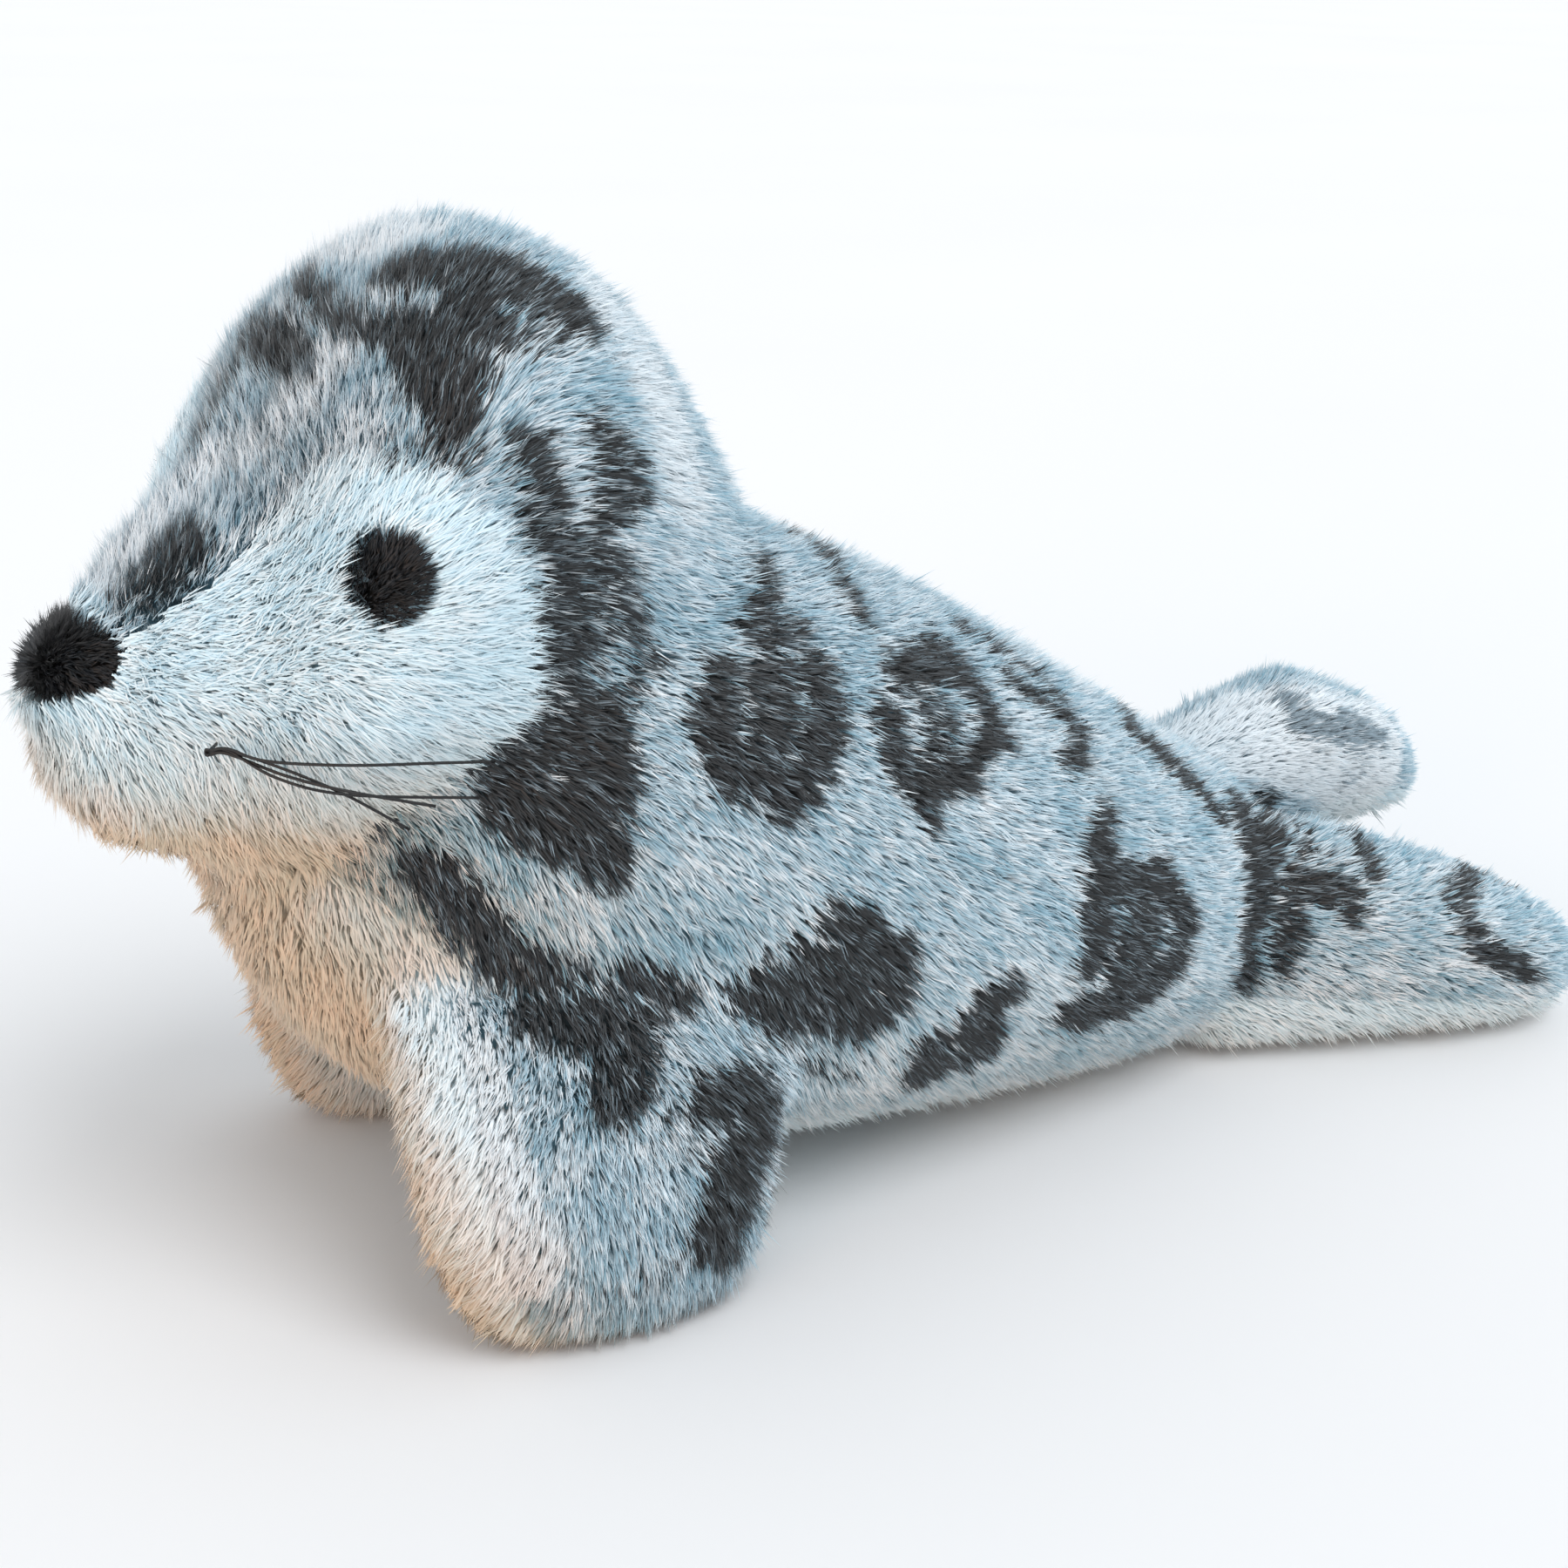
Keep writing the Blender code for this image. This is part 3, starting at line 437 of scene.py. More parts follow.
# %% Spots of the print
# Name, darkness, and the circles: x, y, z and radius in millimetres
SPOTS = [
    ("muzzle", 0.75, [
        (-134, -7, 113, 3.0), (-131, -10, 115, 4.6), (-128, -7, 119, 4.0), (-127, -12, 119, 3.4),
    ]),
    ("crown", 0.9, [
        (-96, -11, 155, 3.4), (-93, -16, 156, 4.8), (-87, -21, 156, 5.4), (-81, -25, 153, 5.4),
        (-74, -27, 149, 3.8),
    ]),
    ("crown drop", 0.95, [
        (-101, -20, 149, 3.2), (-98, -29, 147, 5.6), (-98, -34, 142, 5.0), (-99, -38, 138, 3.2),
    ]),
    ("crown join", 0.9, [(-93, -27, 151, 4.4), (-90, -31, 149, 4.0)]),
    ("crown arm", 0.7, [(-86, -33, 147, 2.1), (-79, -31, 147, 1.7)]),
    ("brow front", 0.9, [(-108, 9, 143, 3.8), (-107, 1, 142, 3.5), (-109, -10, 142, 1.7)]),
    ("brow top", 0.85, [
        (-101, 13, 151, 1.8), (-103, 5, 150, 2.0), (-103, -7, 149, 2.4), (-103, -16, 148, 1.9),
    ]),
    ("forehead edge", 0.7, [
        (-106, 18, 144, 2.0), (-112, 14, 137, 2.3), (-116, 13, 131, 2.0), (-118, 15, 127, 1.3),
    ]),
    ("over the patch", 0.5, [(-106, -34, 134, 1.8), (-102, -39, 135, 2.0), (-98, -41, 135, 1.8)]),
    ("fleck", 0.6, [(-92, -41, 137, 1.5)]),
    ("behind the eye", 0.8, [
        (-89, -42, 133, 3.2), (-87, -43, 127, 4.2), (-85, -42, 119, 4.2), (-83, -41, 111, 4.3),
        (-81, -40, 103, 4.1),
    ]),
    ("temple", 0.72, [(-77, -37, 132, 4.4), (-73, -37, 127, 5.2), (-78, -39, 123, 3.6)]),
    ("back of the cheek", 0.68, [(-80, -40, 118, 4.0), (-75, -38, 111, 4.8), (-70, -34, 103, 3.6)]),
    ("cheek edge", 0.9, [(-86, -41, 112, 2.1), (-83, -38, 100, 2.9)]),
    ("neck fleck", 0.65, [(-69, -38, 100, 2.0), (-74, -39, 97, 2.7)]),
    ("collar upper", 0.95, [(-85, -39, 92, 4.4), (-79, -40, 93, 5.4), (-79, -42, 85, 5.4)]),
    ("collar lower", 1.0, [
        (-91, -39, 88, 4.1), (-92, -39, 83, 4.1), (-85, -42, 80, 5.9), (-79, -44, 76, 4.2),
        (-79, -43, 71, 2.5),
    ]),
    ("throat edge", 0.5, [(-113, -40, 87, 1.9), (-107, -33, 79, 2.7)]),
    ("shoulder front", 0.95, [
        (-104, -35, 74, 3.4), (-100, -36, 69, 4.4), (-96, -38, 63, 4.2), (-92, -38, 57, 2.0),
    ]),
    ("flank one neck", 0.8, [
        (-42, -24, 110, 1.6), (-45, -30, 106, 2.6), (-48, -34, 102, 4.4), (-43, -34, 100, 3.6),
    ]),
    ("flank one rim", 0.95, [
        (-57, -39, 97, 3.5), (-61, -42, 91, 3.0), (-58, -44, 84, 3.5), (-50, -45, 79, 3.3),
        (-44, -43, 83, 3.4), (-39, -40, 89, 3.1), (-40, -37, 95, 3.1),
    ]),
    ("flank one middle", 0.8, [(-49, -39, 94, 5.6), (-52, -42, 88, 5.1)]),
    ("flank two rim", 0.95, [
        (-23, -33, 91, 3.2), (-10, -27, 91, 3.6), (-6, -31, 85, 3.3), (-5, -34, 79, 3.0),
        (-14, -40, 76, 3.0), (-22, -42, 74, 2.9), (-27, -41, 79, 2.9), (-29, -38, 87, 2.6),
    ]),
    ("flank two middle", 0.7, [(-18, -35, 86, 4.6), (-18, -39, 80, 3.8)]),
    ("flank two tail", 0.85, [(-22, -43, 71, 1.7), (-23, -44, 69, 1.1)]),
    ("back streak one", 0.9, [
        (-28, -6, 109, 1.3), (-23, -7, 107, 1.5), (-25, -17, 105, 1.5), (-26, -24, 102, 2.0),
        (-26, -27, 99, 1.9),
    ]),
    ("back streak two", 0.85, [
        (-1, -18, 92, 1.6), (6, -18, 87, 1.9), (13, -19, 83, 1.7), (17, -22, 79, 1.5),
    ]),
    ("back streak three", 0.9, [
        (6, -25, 84, 1.6), (13, -26, 78, 2.3), (17, -27, 74, 2.6), (12, -33, 71, 1.7),
    ]),
    ("back streak four", 0.95, [
        (44, -3, 69, 1.4), (36, -18, 68, 2.4), (46, -18, 61, 3.1), (52, -20, 56, 2.8),
        (54, -23, 51, 1.9),
    ]),
    ("rump rim", 0.95, [
        (18, -35, 63, 1.9), (14, -39, 58, 3.7), (18, -39, 51, 4.0), (30, -36, 48, 3.8),
        (38, -35, 39, 3.0), (35, -36, 31, 3.6), (25, -36, 27, 4.5), (14, -38, 27, 3.8),
        (8, -40, 30, 2.0),
    ]),
    ("rump column", 0.95, [(12, -41, 51, 3.7), (13, -41, 39, 4.3)]),
    ("rump middle", 0.85, [(24, -39, 42, 6.4), (23, -38, 33, 6.0)]),
    ("low flank", 0.92, [
        (-42, -47, 58, 2.6), (-38, -47, 56, 3.4), (-31, -47, 51, 4.3), (-30, -46, 42, 3.5),
        (-36, -45, 39, 4.0), (-46, -45, 46, 4.8), (-53, -45, 50, 3.1),
    ]),
    ("low flank middle", 0.85, [(-47, -46, 52, 4.2), (-38, -46, 48, 5.1)]),
    ("low flank arm", 0.85, [(-58, -45, 49, 2.3), (-53, -44, 45, 2.6), (-49, -44, 40, 1.9)]),
    ("behind the flipper", 1.0, [(-76, -43, 56, 1.6), (-72, -43, 53, 2.6), (-67, -44, 50, 1.8)]),
    ("belly edge", 0.9, [
        (-7, -44, 37, 4.2), (-12, -43, 33, 5.2), (-9, -40, 26, 4.6), (-18, -38, 23, 4.6),
        (-20, -41, 30, 4.2),
    ]),
    ("belly fleck", 0.6, [(-49, -43, 37, 1.6), (-44, -42, 33, 1.5), (-35, -41, 28, 1.4)]),
    ("flipper shoulder", 0.8, [(-96, -37, 60, 3.0), (-88, -39, 57, 3.6), (-83, -40, 55, 3.0)]),
    ("flipper one", 0.85, [
        (-91, -42, 52, 3.2), (-85, -44, 49, 3.8), (-80, -44, 49, 4.6), (-78, -47, 45, 5.0),
        (-78, -49, 41, 4.4), (-82, -49, 39, 3.4),
    ]),
    ("flipper one top", 0.8, [(-73, -44, 49, 2.6), (-79, -43, 52, 2.5)]),
    ("flipper two", 0.95, [
        (-66, -50, 36, 3.4), (-57, -48, 33, 4.6), (-54, -48, 27, 4.4), (-62, -51, 25, 6.0),
        (-63, -53, 19, 6.2), (-67, -54, 15, 4.6), (-64, -53, 10, 3.2),
    ]),
    ("flipper two edge", 0.9, [(-50, -46, 18, 2.4), (-53, -46, 11, 2.7)]),
    ("flipper fleck", 0.6, [(-56, -46, 40, 1.2), (-47, -42, 35, 1.5)]),
    ("flipper smudge", 0.4, [(-73, -52, 34, 2.3), (-70, -52, 29, 1.8)]),
    ("flipper sole edge", 0.45, [(-93, -53, 9, 1.1), (-82, -55, 10, 1.4), (-75, -55, 11, 1.3)]),
    ("tail base", 0.95, [
        (63, -18, 49, 4.0), (63, -25, 43, 4.6), (61, -28, 36, 4.2), (58, -30, 28, 3.6),
        (60, -27, 19, 2.4),
    ]),
    ("tail base top", 0.9, [(89, 4, 37, 4.1), (66, -23, 45, 3.2)]),
    ("tail grey", 0.55, [(74, -22, 45, 3.2), (72, -28, 41, 4.1)]),
    ("tail curl one", 0.85, [(88, -23, 43, 1.6), (85, -30, 41, 1.9), (85, -32, 38, 1.6)]),
    ("tail curl two", 0.9, [
        (70, -28, 38, 3.2), (75, -31, 36, 3.5), (79, -33, 34, 2.9), (80, -35, 30, 1.6),
    ]),
    ("tail curl three", 0.75, [(67, -30, 34, 2.8), (67, -30, 27, 3.2), (67, -30, 21, 1.9)]),
    ("tail tip rim", 0.85, [
        (124, -30, 29, 1.7), (115, -28, 34, 2.3), (102, -37, 33, 2.3), (101, -40, 27, 2.3),
        (105, -42, 22, 2.6), (114, -43, 17, 2.6), (119, -43, 14, 1.3),
    ]),
    ("far tail", 0.8, [
        (103, 15, 55, 3.1), (105, 11, 52, 4.2), (110, 9, 49, 3.5), (121, 13, 47, 3.9),
        (129, 13, 44, 2.1),
    ]),
    ("far tail curl", 0.55, [(122, 10, 41, 1.8), (119, 9, 38, 1.4), (115, 8, 36, 1.2)]),
]
EDGE_BLUR = 2.0 * MM
PRINT_SPREAD = 0.8 * MM
# Width of a wave, how far it moves the print, and its seed
PRINT_WAVES = [(7 * MM, 1.6 * MM, 3), (2.2 * MM, 1.0 * MM, 9)]
# The right side's print: how far it is moved, where it starts on the head and behind it, and its soft start
PRINT_SHIFT = np.array((7, 0, -4)) * MM
HEAD_END = -60 * MM
START_ON_HEAD = 17 * MM
START_BEHIND = 4 * MM
START_WIDTH = 6 * MM
# Without a seed of its own the noise would start from the clock, and the print differ from run to run
noise.seed_set(3)


def wandering(points, size, reach, seed):
    """Smooth noise vectors at the points: size is the width of a wave, reach how far it moves."""
    offset = Vector((seed, -seed, seed * 0.5))
    return np.array([noise.noise_vector(Vector(p) / size + offset) for p in points]) * reach


def in_chain(points, circles):
    """How far inside a chain of circles each point is, in metres; below zero is outside."""
    circles = np.array(circles, float) * MM
    inside = np.full(len(points), -1.0)
    low = (circles[:, :3] - circles[:, 3:]).min(axis=0) - 3 * MM
    high = (circles[:, :3] + circles[:, 3:]).max(axis=0) + 3 * MM
    near = np.flatnonzero(((points > low) & (points < high)).all(axis=1))
    if not len(near):
        return inside
    p = points[near]
    best = np.full(len(p), -1.0)
    pairs = list(zip(circles[:-1], circles[1:])) or [(circles[0], circles[0])]
    for one, two in pairs:
        way = two[:3] - one[:3]
        length = max(float(way @ way), 1e-12)
        t = np.clip((p - one[:3]) @ way / length, 0, 1)
        distance = np.linalg.norm(p - one[:3] - t[:, None] * way, axis=1)
        best = np.maximum(best, one[3] + (two[3] - one[3]) * t + PRINT_SPREAD - distance)
    inside[near] = best
    return inside


def printed(points):
    """How dark the print is at each point, from 0 to 1."""
    moved = points
    for wave in PRINT_WAVES:
        moved = moved + wandering(points, *wave)
    other = (moved - PRINT_SHIFT) * (1, -1, 1)
    edge = np.where(points[:, 0] < HEAD_END, START_ON_HEAD, START_BEHIND)
    past_middle = np.clip((points[:, 1] - edge) / START_WIDTH, 0, 1)
    dark = np.zeros(len(points))
    for _, darkness, circles in SPOTS:
        here = np.clip(0.5 + in_chain(moved, circles) / (2 * EDGE_BLUR), 0, 1)
        there = np.clip(0.5 + in_chain(other, circles) / (2 * EDGE_BLUR), 0, 1) * past_middle
        dark = np.maximum(dark, np.maximum(here, there) * darkness)
    return dark


print("spots in the print:", len(SPOTS))

# %% [markdown]
# ## Fibres
#
# A fibre is a narrow kite of two triangles: it rises from a point in the cloth, is widest where it bends, and
# ends in a point. Two triangles are few enough that almost half a million fibres fit in one light model. A
# real fibre is some 0.02 mm thick, too fine to show, so each kite is as wide as a small lock of them. The
# number of fibres on each panel follows from its area and the density of its pile, which the table gives.

# %% Plant the fibres
random = np.random.default_rng(41)

# Fibres per mm2, length in mm, lean from upright in degrees, width in mm, how much a tuft pulls together
PILE = {
    "head_panel": (6.4, 5.0, 37, 0.25, 0.32),
    "face_patch": (7.8, 6.0, 61, 0.32, 0.05),
    "back_panel": (5.1, 4.8, 41, 0.27, 0.36),
    "eye": (12.0, 3.6, 34, 0.22, 0.25),
    "chest_and_belly_panel": (2.6, 5.2, 46, 0.40, 0.30),
    "nose": (12.0, 3.8, 42, 0.22, 0.30),
    "front_flipper_top": (6.0, 4.9, 37, 0.25, 0.32),
    "front_flipper_underside": (4.4, 6.2, 46, 0.32, 0.25),
    "tail_flipper_top": (4.4, 4.6, 43, 0.28, 0.36),
    "tail_flipper_underside": (3.0, 4.8, 48, 0.36, 0.30),
}


def kind_of(panel):
    """The panel's name without its side."""
    return panel.replace("_left", "").replace("_right", "")


pile_rows = np.array([PILE[kind_of(name)] for name in PANELS])


def spread_roots():
    """For each fibre the skin triangle it grows on and its place in it."""
    wanted = skin_areas * 1e6 * pile_rows[skin_owner, 0]
    count = np.floor(wanted + random.random(len(wanted))).astype(int)
    home = np.repeat(np.arange(len(wanted)), count)
    u, v = random.random((2, len(home)))
    over = u + v > 1
    u[over], v[over] = 1 - u[over], 1 - v[over]
    return home, np.stack([1 - u - v, u, v], axis=1)


def at_roots(values, home, shares):
    """Values of the skin's points read at the roots."""
    return (values[skin_triangles[home]] * shares[:, :, None]).sum(axis=1)


home, shares = spread_roots()
root = at_roots(backing_points, home, shares)
over_root = at_roots(skin_points, home, shares)
normal = unit(at_roots(skin_normals, home, shares))
print("fibres:", len(home))

# %% [markdown]
# A seam between two cloths is seen where the tips of the pile lie, and that is a little further along the
# comb than the roots. So each fibre asks which panel is nearest to the place where it is seen. The nose and
# the eyes get outlines of their own as well, with an edge as crisp as a sewn one: the nose is a flat oval
# high on the muzzle, and each eye is round.

# %% Choose the cloth of every fibre
LEAN_SHIFT = 2.2 * MM
NOSE_MIDDLE = np.array((-146.0, 0.0, 103.4)) * MM
NOSE_REACH = np.array((12.5, 14.8, 6.9)) * MM
NOSE_SQUARENESS = 2.2
EYE_MIDDLE = np.array((-110.6, -42.0, 119.4)) * MM
EYE_RADIUS = 7.1 * MM

way = combed(over_root, normal)
seen_at = over_root + way * LEAN_SHIFT
owner = nearest_panel(seen_at)
for side in SIDES:
    middle = EYE_MIDDLE * (1, -1 if side == "right" else 1, 1)
    owner[np.linalg.norm(seen_at - middle, axis=1) < EYE_RADIUS] = PANELS.index(f"eye_{side}")
nose = PANELS.index("nose")
in_nose = (np.abs((seen_at - NOSE_MIDDLE) / NOSE_REACH) ** NOSE_SQUARENESS).sum(axis=1) < 1
beside = PANELS.index("face_patch_left"), PANELS.index("face_patch_right")
uncovered = (owner == nose) & ~in_nose
owner[uncovered] = np.where(seen_at[uncovered, 1] < 0, *beside)
owner[in_nose] = nose
density, length, lean, width, pull = pile_rows[owner].T
print("fibres of the nose:", in_nose.sum())

# %% [markdown]
# Fibres that grow close together bend towards the same point, which makes the tufts. Each tuft also leans and
# reaches a little differently from its neighbours, and each fibre from the rest of its tuft. On the printed
# cloth a few wild fibres are longer and stand up, which gives the toy its fuzz. The white pile lies smoother.

# %% Bend the fibres and gather the tufts
FIBRES_IN_TUFT = 4
# How much a tuft, and each fibre in it, differs in lean (degrees), in direction and in length
TUFT_TILT, TUFT_SWAY, TUFT_REACH = 8, 0.20, 0.10
OWN_TILT, OWN_SWAY, OWN_REACH = 6, 0.14, 0.08
WILD_SHARE = 0.04
WILD_TILT = 0.7
WILD_REACH = 1.2
# The lower half of a fibre stands up more than its whole lean, and the upper half less
LOWER_LEAN = 0.6
UPPER_LEAN = 1.35
# How unevenly a tuft pulls its fibres together, and the share of the pull that reaches the bend
PULL_RANGE = (0.6, 1.3)
BEND_SHARE = 0.35

tufts = random.permutation(len(root))[: len(root) // FIBRES_IN_TUFT]
tuft_tree = kdtree.KDTree(len(tufts))
for k, which in enumerate(tufts):
    tuft_tree.insert(over_root[which], k)
tuft_tree.balance()
tuft = np.array([tuft_tree.find(p)[1] for p in over_root])
leader = tufts[tuft]

tuft_turn = random.normal(0, 1, (len(tufts), 3))[tuft]
own_turn = random.normal(0, 1, (len(root), 3))
tilt = np.radians(lean + TUFT_TILT * tuft_turn[:, 0] + OWN_TILT * own_turn[:, 0])
across = np.cross(normal, way)
way = unit(way + across * (TUFT_SWAY * tuft_turn[:, 1] + OWN_SWAY * own_turn[:, 1])[:, None])
reach = length * MM * (1 + TUFT_REACH * tuft_turn[:, 2] + OWN_REACH * own_turn[:, 2])
white = [k for k, name in enumerate(PANELS) if name.startswith(("face_patch", "chest"))]
is_white = np.isin(owner, white)
wild = (random.random(len(root)) < WILD_SHARE) & ~is_white
tilt[wild] *= WILD_TILT
reach[wild] *= WILD_REACH

upright = normal * np.cos(tilt * LOWER_LEAN)[:, None] + way * np.sin(tilt * LOWER_LEAN)[:, None]
laid = normal * np.cos(tilt * UPPER_LEAN)[:, None] + way * np.sin(tilt * UPPER_LEAN)[:, None]
bend = root + upright * (reach * 0.5)[:, None]
tip = bend + laid * (reach * 0.5)[:, None]
gathered = (pull * random.uniform(*PULL_RANGE, len(root)))[:, None]
same_cloth = (owner == owner[leader])[:, None]
tip = tip + (tip[leader] - tip) * gathered * same_cloth
bend = bend + (bend[leader] - bend) * gathered * BEND_SHARE * same_cloth

FLOOR_CLEARANCE = 0.2 * MM
for part_of in (root, bend, tip):
    part_of[:, 2] = np.maximum(part_of[:, 2], FLOOR_CLEARANCE)
print("tufts:", len(tufts))

# %% [markdown]
# ## Colour marks
#
# A print on pile isn't even: where it is thin, some tufts take the dye and some don't. So a fibre is either
# dark or pale, by a draw that its tuft mostly shares, and a thinner print makes fewer of them dark. A second
# mark says how light the fibre is. Most of it is chance. On the crown, the forehead, the nape and the ridge
# of the back it is raised as painted highlight, where the light falls, and the fronts of the flippers and the
# far tail flipper are paler cloth.

# %% Dark fibres and light fibres
# Lightness and the circles, as for the spots: painted highlights on the head and the back, and paler cloth at
# the fronts of the flippers and on the far tail flipper
PAINTED_LIGHT_AND_PALE_PLACES = [
    (0.60, [(-94, 12, 156, 7), (-88, -2, 159, 6)]),
    (0.50, [(-108, -15, 143, 6), (-111, -10, 138, 7), (-116, -5, 131, 6)]),
    (0.60, [(-121, 4, 126, 6), (-134, 2, 114, 6)]),
    (0.40, [(-109, -30, 136, 5), (-124, -20, 122, 5)]),
    (0.45, [(-66, -19, 148, 8), (-61, -28, 132, 8), (-59, -29, 122, 6)]),
    (0.50, [(-40, 0, 124, 6), (-16, 0, 106, 6), (6, -3, 94, 6), (29, -8, 77, 6)]),
    (0.80, [(-106, -36, 54, 8), (-104, -44, 42, 8), (-102, -48, 30, 8), (-98, -50, 18, 7)]),
    (0.70, [(83, 12, 53, 10), (97, 11, 50, 12), (125, 12, 40, 14)]),
]

# The share of the draw that a tuft has in common, how far the draw reaches, how hard the edge of a spot is,
# and the little that darkens a few fibres outside the spots too
SHARED_DRAW = 0.65
DRAW_REACH = 0.9
EDGE_CONTRAST = 5
STRAY_PRINT = 0.08
LIGHT_EDGE = 3 * MM

tuft_draw = random.random(len(tufts))[tuft]
own_draw = random.random(len(root))
seen_part = (bend + 2 * tip) / 3
draw = SHARED_DRAW * tuft_draw + (1 - SHARED_DRAW) * own_draw
dark = np.clip((printed(seen_part) - DRAW_REACH * draw + STRAY_PRINT) * EDGE_CONTRAST, 0, 1)
# Painted highlights on the head and back, and the paler cloth of the flipper fronts and far tail flipper,
# raise a fibre's lightness.
painted_light_and_pale = np.zeros(len(root))
for amount, circles in PAINTED_LIGHT_AND_PALE_PLACES:
    painted_light_and_pale = np.maximum(painted_light_and_pale, amount * np.clip(in_chain(seen_part, circles) / LIGHT_EDGE, 0, 1))
lightness = 0.5 * random.random(len(tufts))[tuft] + 0.5 * random.random(len(root)) + painted_light_and_pale
print("dark fibres:", int(dark.sum()))

# %% [markdown]
# The white cloth doesn't look equally white. What faces down and forwards, on the chin, the throat and the
# feet, is creamier, from the warm light that comes back to it from below. The lamps below give some of that,
# and the rest is painted warm bounce light: a warm tint in the pile itself.

# %% Painted warm bounce light on the white cloth
WARM_BOUNCE_WAY = np.array((-0.7, 0, -1.1))
WARM_BELOW = 100 * MM
WARM_BELOW_FADE = 18 * MM
WARM_AHEAD_FADE = 40 * MM
LEAST_AHEAD = 0.25


def painted_warm_bounce(points, normals):
    """How much painted warm bounce light the cloth gets, from 0 to 1."""
    facing = np.clip(normals @ WARM_BOUNCE_WAY + 0.1, 0, 1)
    low = np.clip((WARM_BELOW - points[:, 2]) / WARM_BELOW_FADE, 0, 1)
    ahead = np.clip((HEAD_END - points[:, 0]) / WARM_AHEAD_FADE, LEAST_AHEAD, 1)
    return facing * low * ahead


print("warm white cloth lies below", round(WARM_BELOW / MM), "mm")


# %% [markdown]
# ## From arrays to pieces
#
# Each panel becomes one mesh: its share of the backing and all of its fibres. Every point carries four
# marks that the materials read: the print, the height along the fibre, how light the fibre is, and how much
# painted warm bounce light it gets.
# A map named OFBake gives every fibre a small square of its own, for anyone who bakes the colours to an
# image. The normals lean towards the cloth's own normal, so that the mass of blades takes the light as softly
# as fur does.

# %% How a piece of pile is built
FIBRE_CORNERS = np.array([(0, 1, 2), (1, 3, 2)])
FIBRE_HEIGHTS = np.array([0.0, 0.5, 0.5, 1.0])
# How much of a blade's own normal is kept, on the white cloth and on the others, and how unevenly
OWN_NORMAL_WHITE = 0.12
OWN_NORMAL = 0.3
NORMAL_SPREAD = 0.4
FIBRE_CELL = np.array([(0.5, 0.08), (0.15, 0.5), (0.85, 0.5), (0.5, 0.92)])
CLOTH_CELL = np.array([(0.15, 0.15), (0.85, 0.15), (0.15, 0.85)])


def fibre_points(k):
    """The four corners of each fibre, as fibres x 4 x 3."""
    side = unit(np.cross(normal[k], tip[k] - root[k]))
    half = side * (width[k] * MM / 2)[:, None]
    return np.stack([root[k], bend[k] - half, bend[k] + half, tip[k]], axis=1)


def fibre_normals(k):
    """Soft normals for the four corners of each fibre, softest on the white cloth."""
    side = np.cross(normal[k], tip[k] - root[k])
    flat = unit(np.cross(tip[k] - root[k], side))
    own = np.where(is_white[k], OWN_NORMAL_WHITE, OWN_NORMAL)[:, None]
    spread = NORMAL_SPREAD * random.normal(0, 1, (len(k), 3))
    soft = unit((1 - own) * normal[k] + own * (flat + spread))
    return np.repeat(soft[:, None, :], 4, axis=1)


def pile_piece(name, look, node):
    """One panel's backing and fibres as one mesh object."""
    mine = PANELS.index(node)
    used, cloth = np.unique(cloth_triangles[cloth_owner == mine], return_inverse=True)
    cloth = cloth.reshape(-1, 3)
    k = np.flatnonzero(owner == mine)
    points = np.vstack([cloth_points[used], fibre_points(k).reshape(-1, 3)])
    points[:, 2] = np.maximum(points[:, 2], FLOOR_CLEARANCE)
    corners = (FIBRE_CORNERS[None] + 4 * np.arange(len(k))[:, None, None]).reshape(-1, 3) + len(used)
    mesh = mesh_of(name, points, np.vstack([cloth, corners]))
    mesh.shade_smooth()

    normals = np.vstack([cloth_normals[used], fibre_normals(k).reshape(-1, 3)])
    mesh.normals_split_custom_set_from_vertices(normals.tolist())
    marks = np.zeros((len(points), 4), np.float32)
    marks[: len(used), 0] = printed(cloth_points[used] + PILE_HEIGHT * cloth_normals[used])
    marks[len(used) :, 0] = np.repeat(dark[k], 4)
    marks[len(used) :, 1] = np.tile(FIBRE_HEIGHTS, len(k))
    marks[len(used) :, 2] = np.repeat(lightness[k], 4)
    # The fourth mark is painted warm bounce light, on the backing and on the fibres.
    marks[: len(used), 3] = painted_warm_bounce(cloth_points[used], cloth_normals[used])
    marks[len(used) :, 3] = np.repeat(painted_warm_bounce(root[k], normal[k]), 4)
    mesh.color_attributes.new("fibre", "FLOAT_COLOR", "POINT").data.foreach_set("color", marks.ravel())

    cells = len(k) + len(cloth)
    across = math.ceil(math.sqrt(cells))
    corner = np.stack([np.arange(cells) % across, np.arange(cells) // across], axis=1)[:, None, :]
    in_cell = np.vstack(
        [
            (corner[: len(cloth)] + CLOTH_CELL[None]).reshape(-1, 2),
            (corner[len(cloth) :] + FIBRE_CELL[FIBRE_CORNERS.ravel()][None]).reshape(-1, 2),
        ]
    )
    bake_map = mesh.uv_layers.new(name="OFBake")
    bake_map.uv.foreach_set("vector", (in_cell / across).astype(np.float32).ravel())
    mesh.materials.append(look)
    made = bpy.data.objects.new(name, mesh)
    bpy.context.scene.collection.objects.link(made)
    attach(made, "root")
    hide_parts(node)
    print(f"{name}: {len(k)} fibres, {len(mesh.polygons)} triangles")
    return made


# %% [markdown]
# ## Pile fabrics
#
# All three plushes are polyester or modacrylic pile: dull along a fibre's side and a little shiny at its
# tip, with a soft sheen where it is seen edge on. A fibre's colour is darker towards its root, as painted
# shade for the little light that gets in there, and each one differs a bit, so the colour follows the height
# and the fibre's own random value. Paler tips on some fibres, on the pale cloth and a few on the dark print,
# are partly a real difference between fibres and partly painted glints. Polymer fibres have an IOR of about
# 1.5 and a high roughness.

# %% Plush materials
PLUSH_ROUGHNESS = 0.52
PLUSH_IOR = 1.5
PATCH_WIDTH = 11 * MM


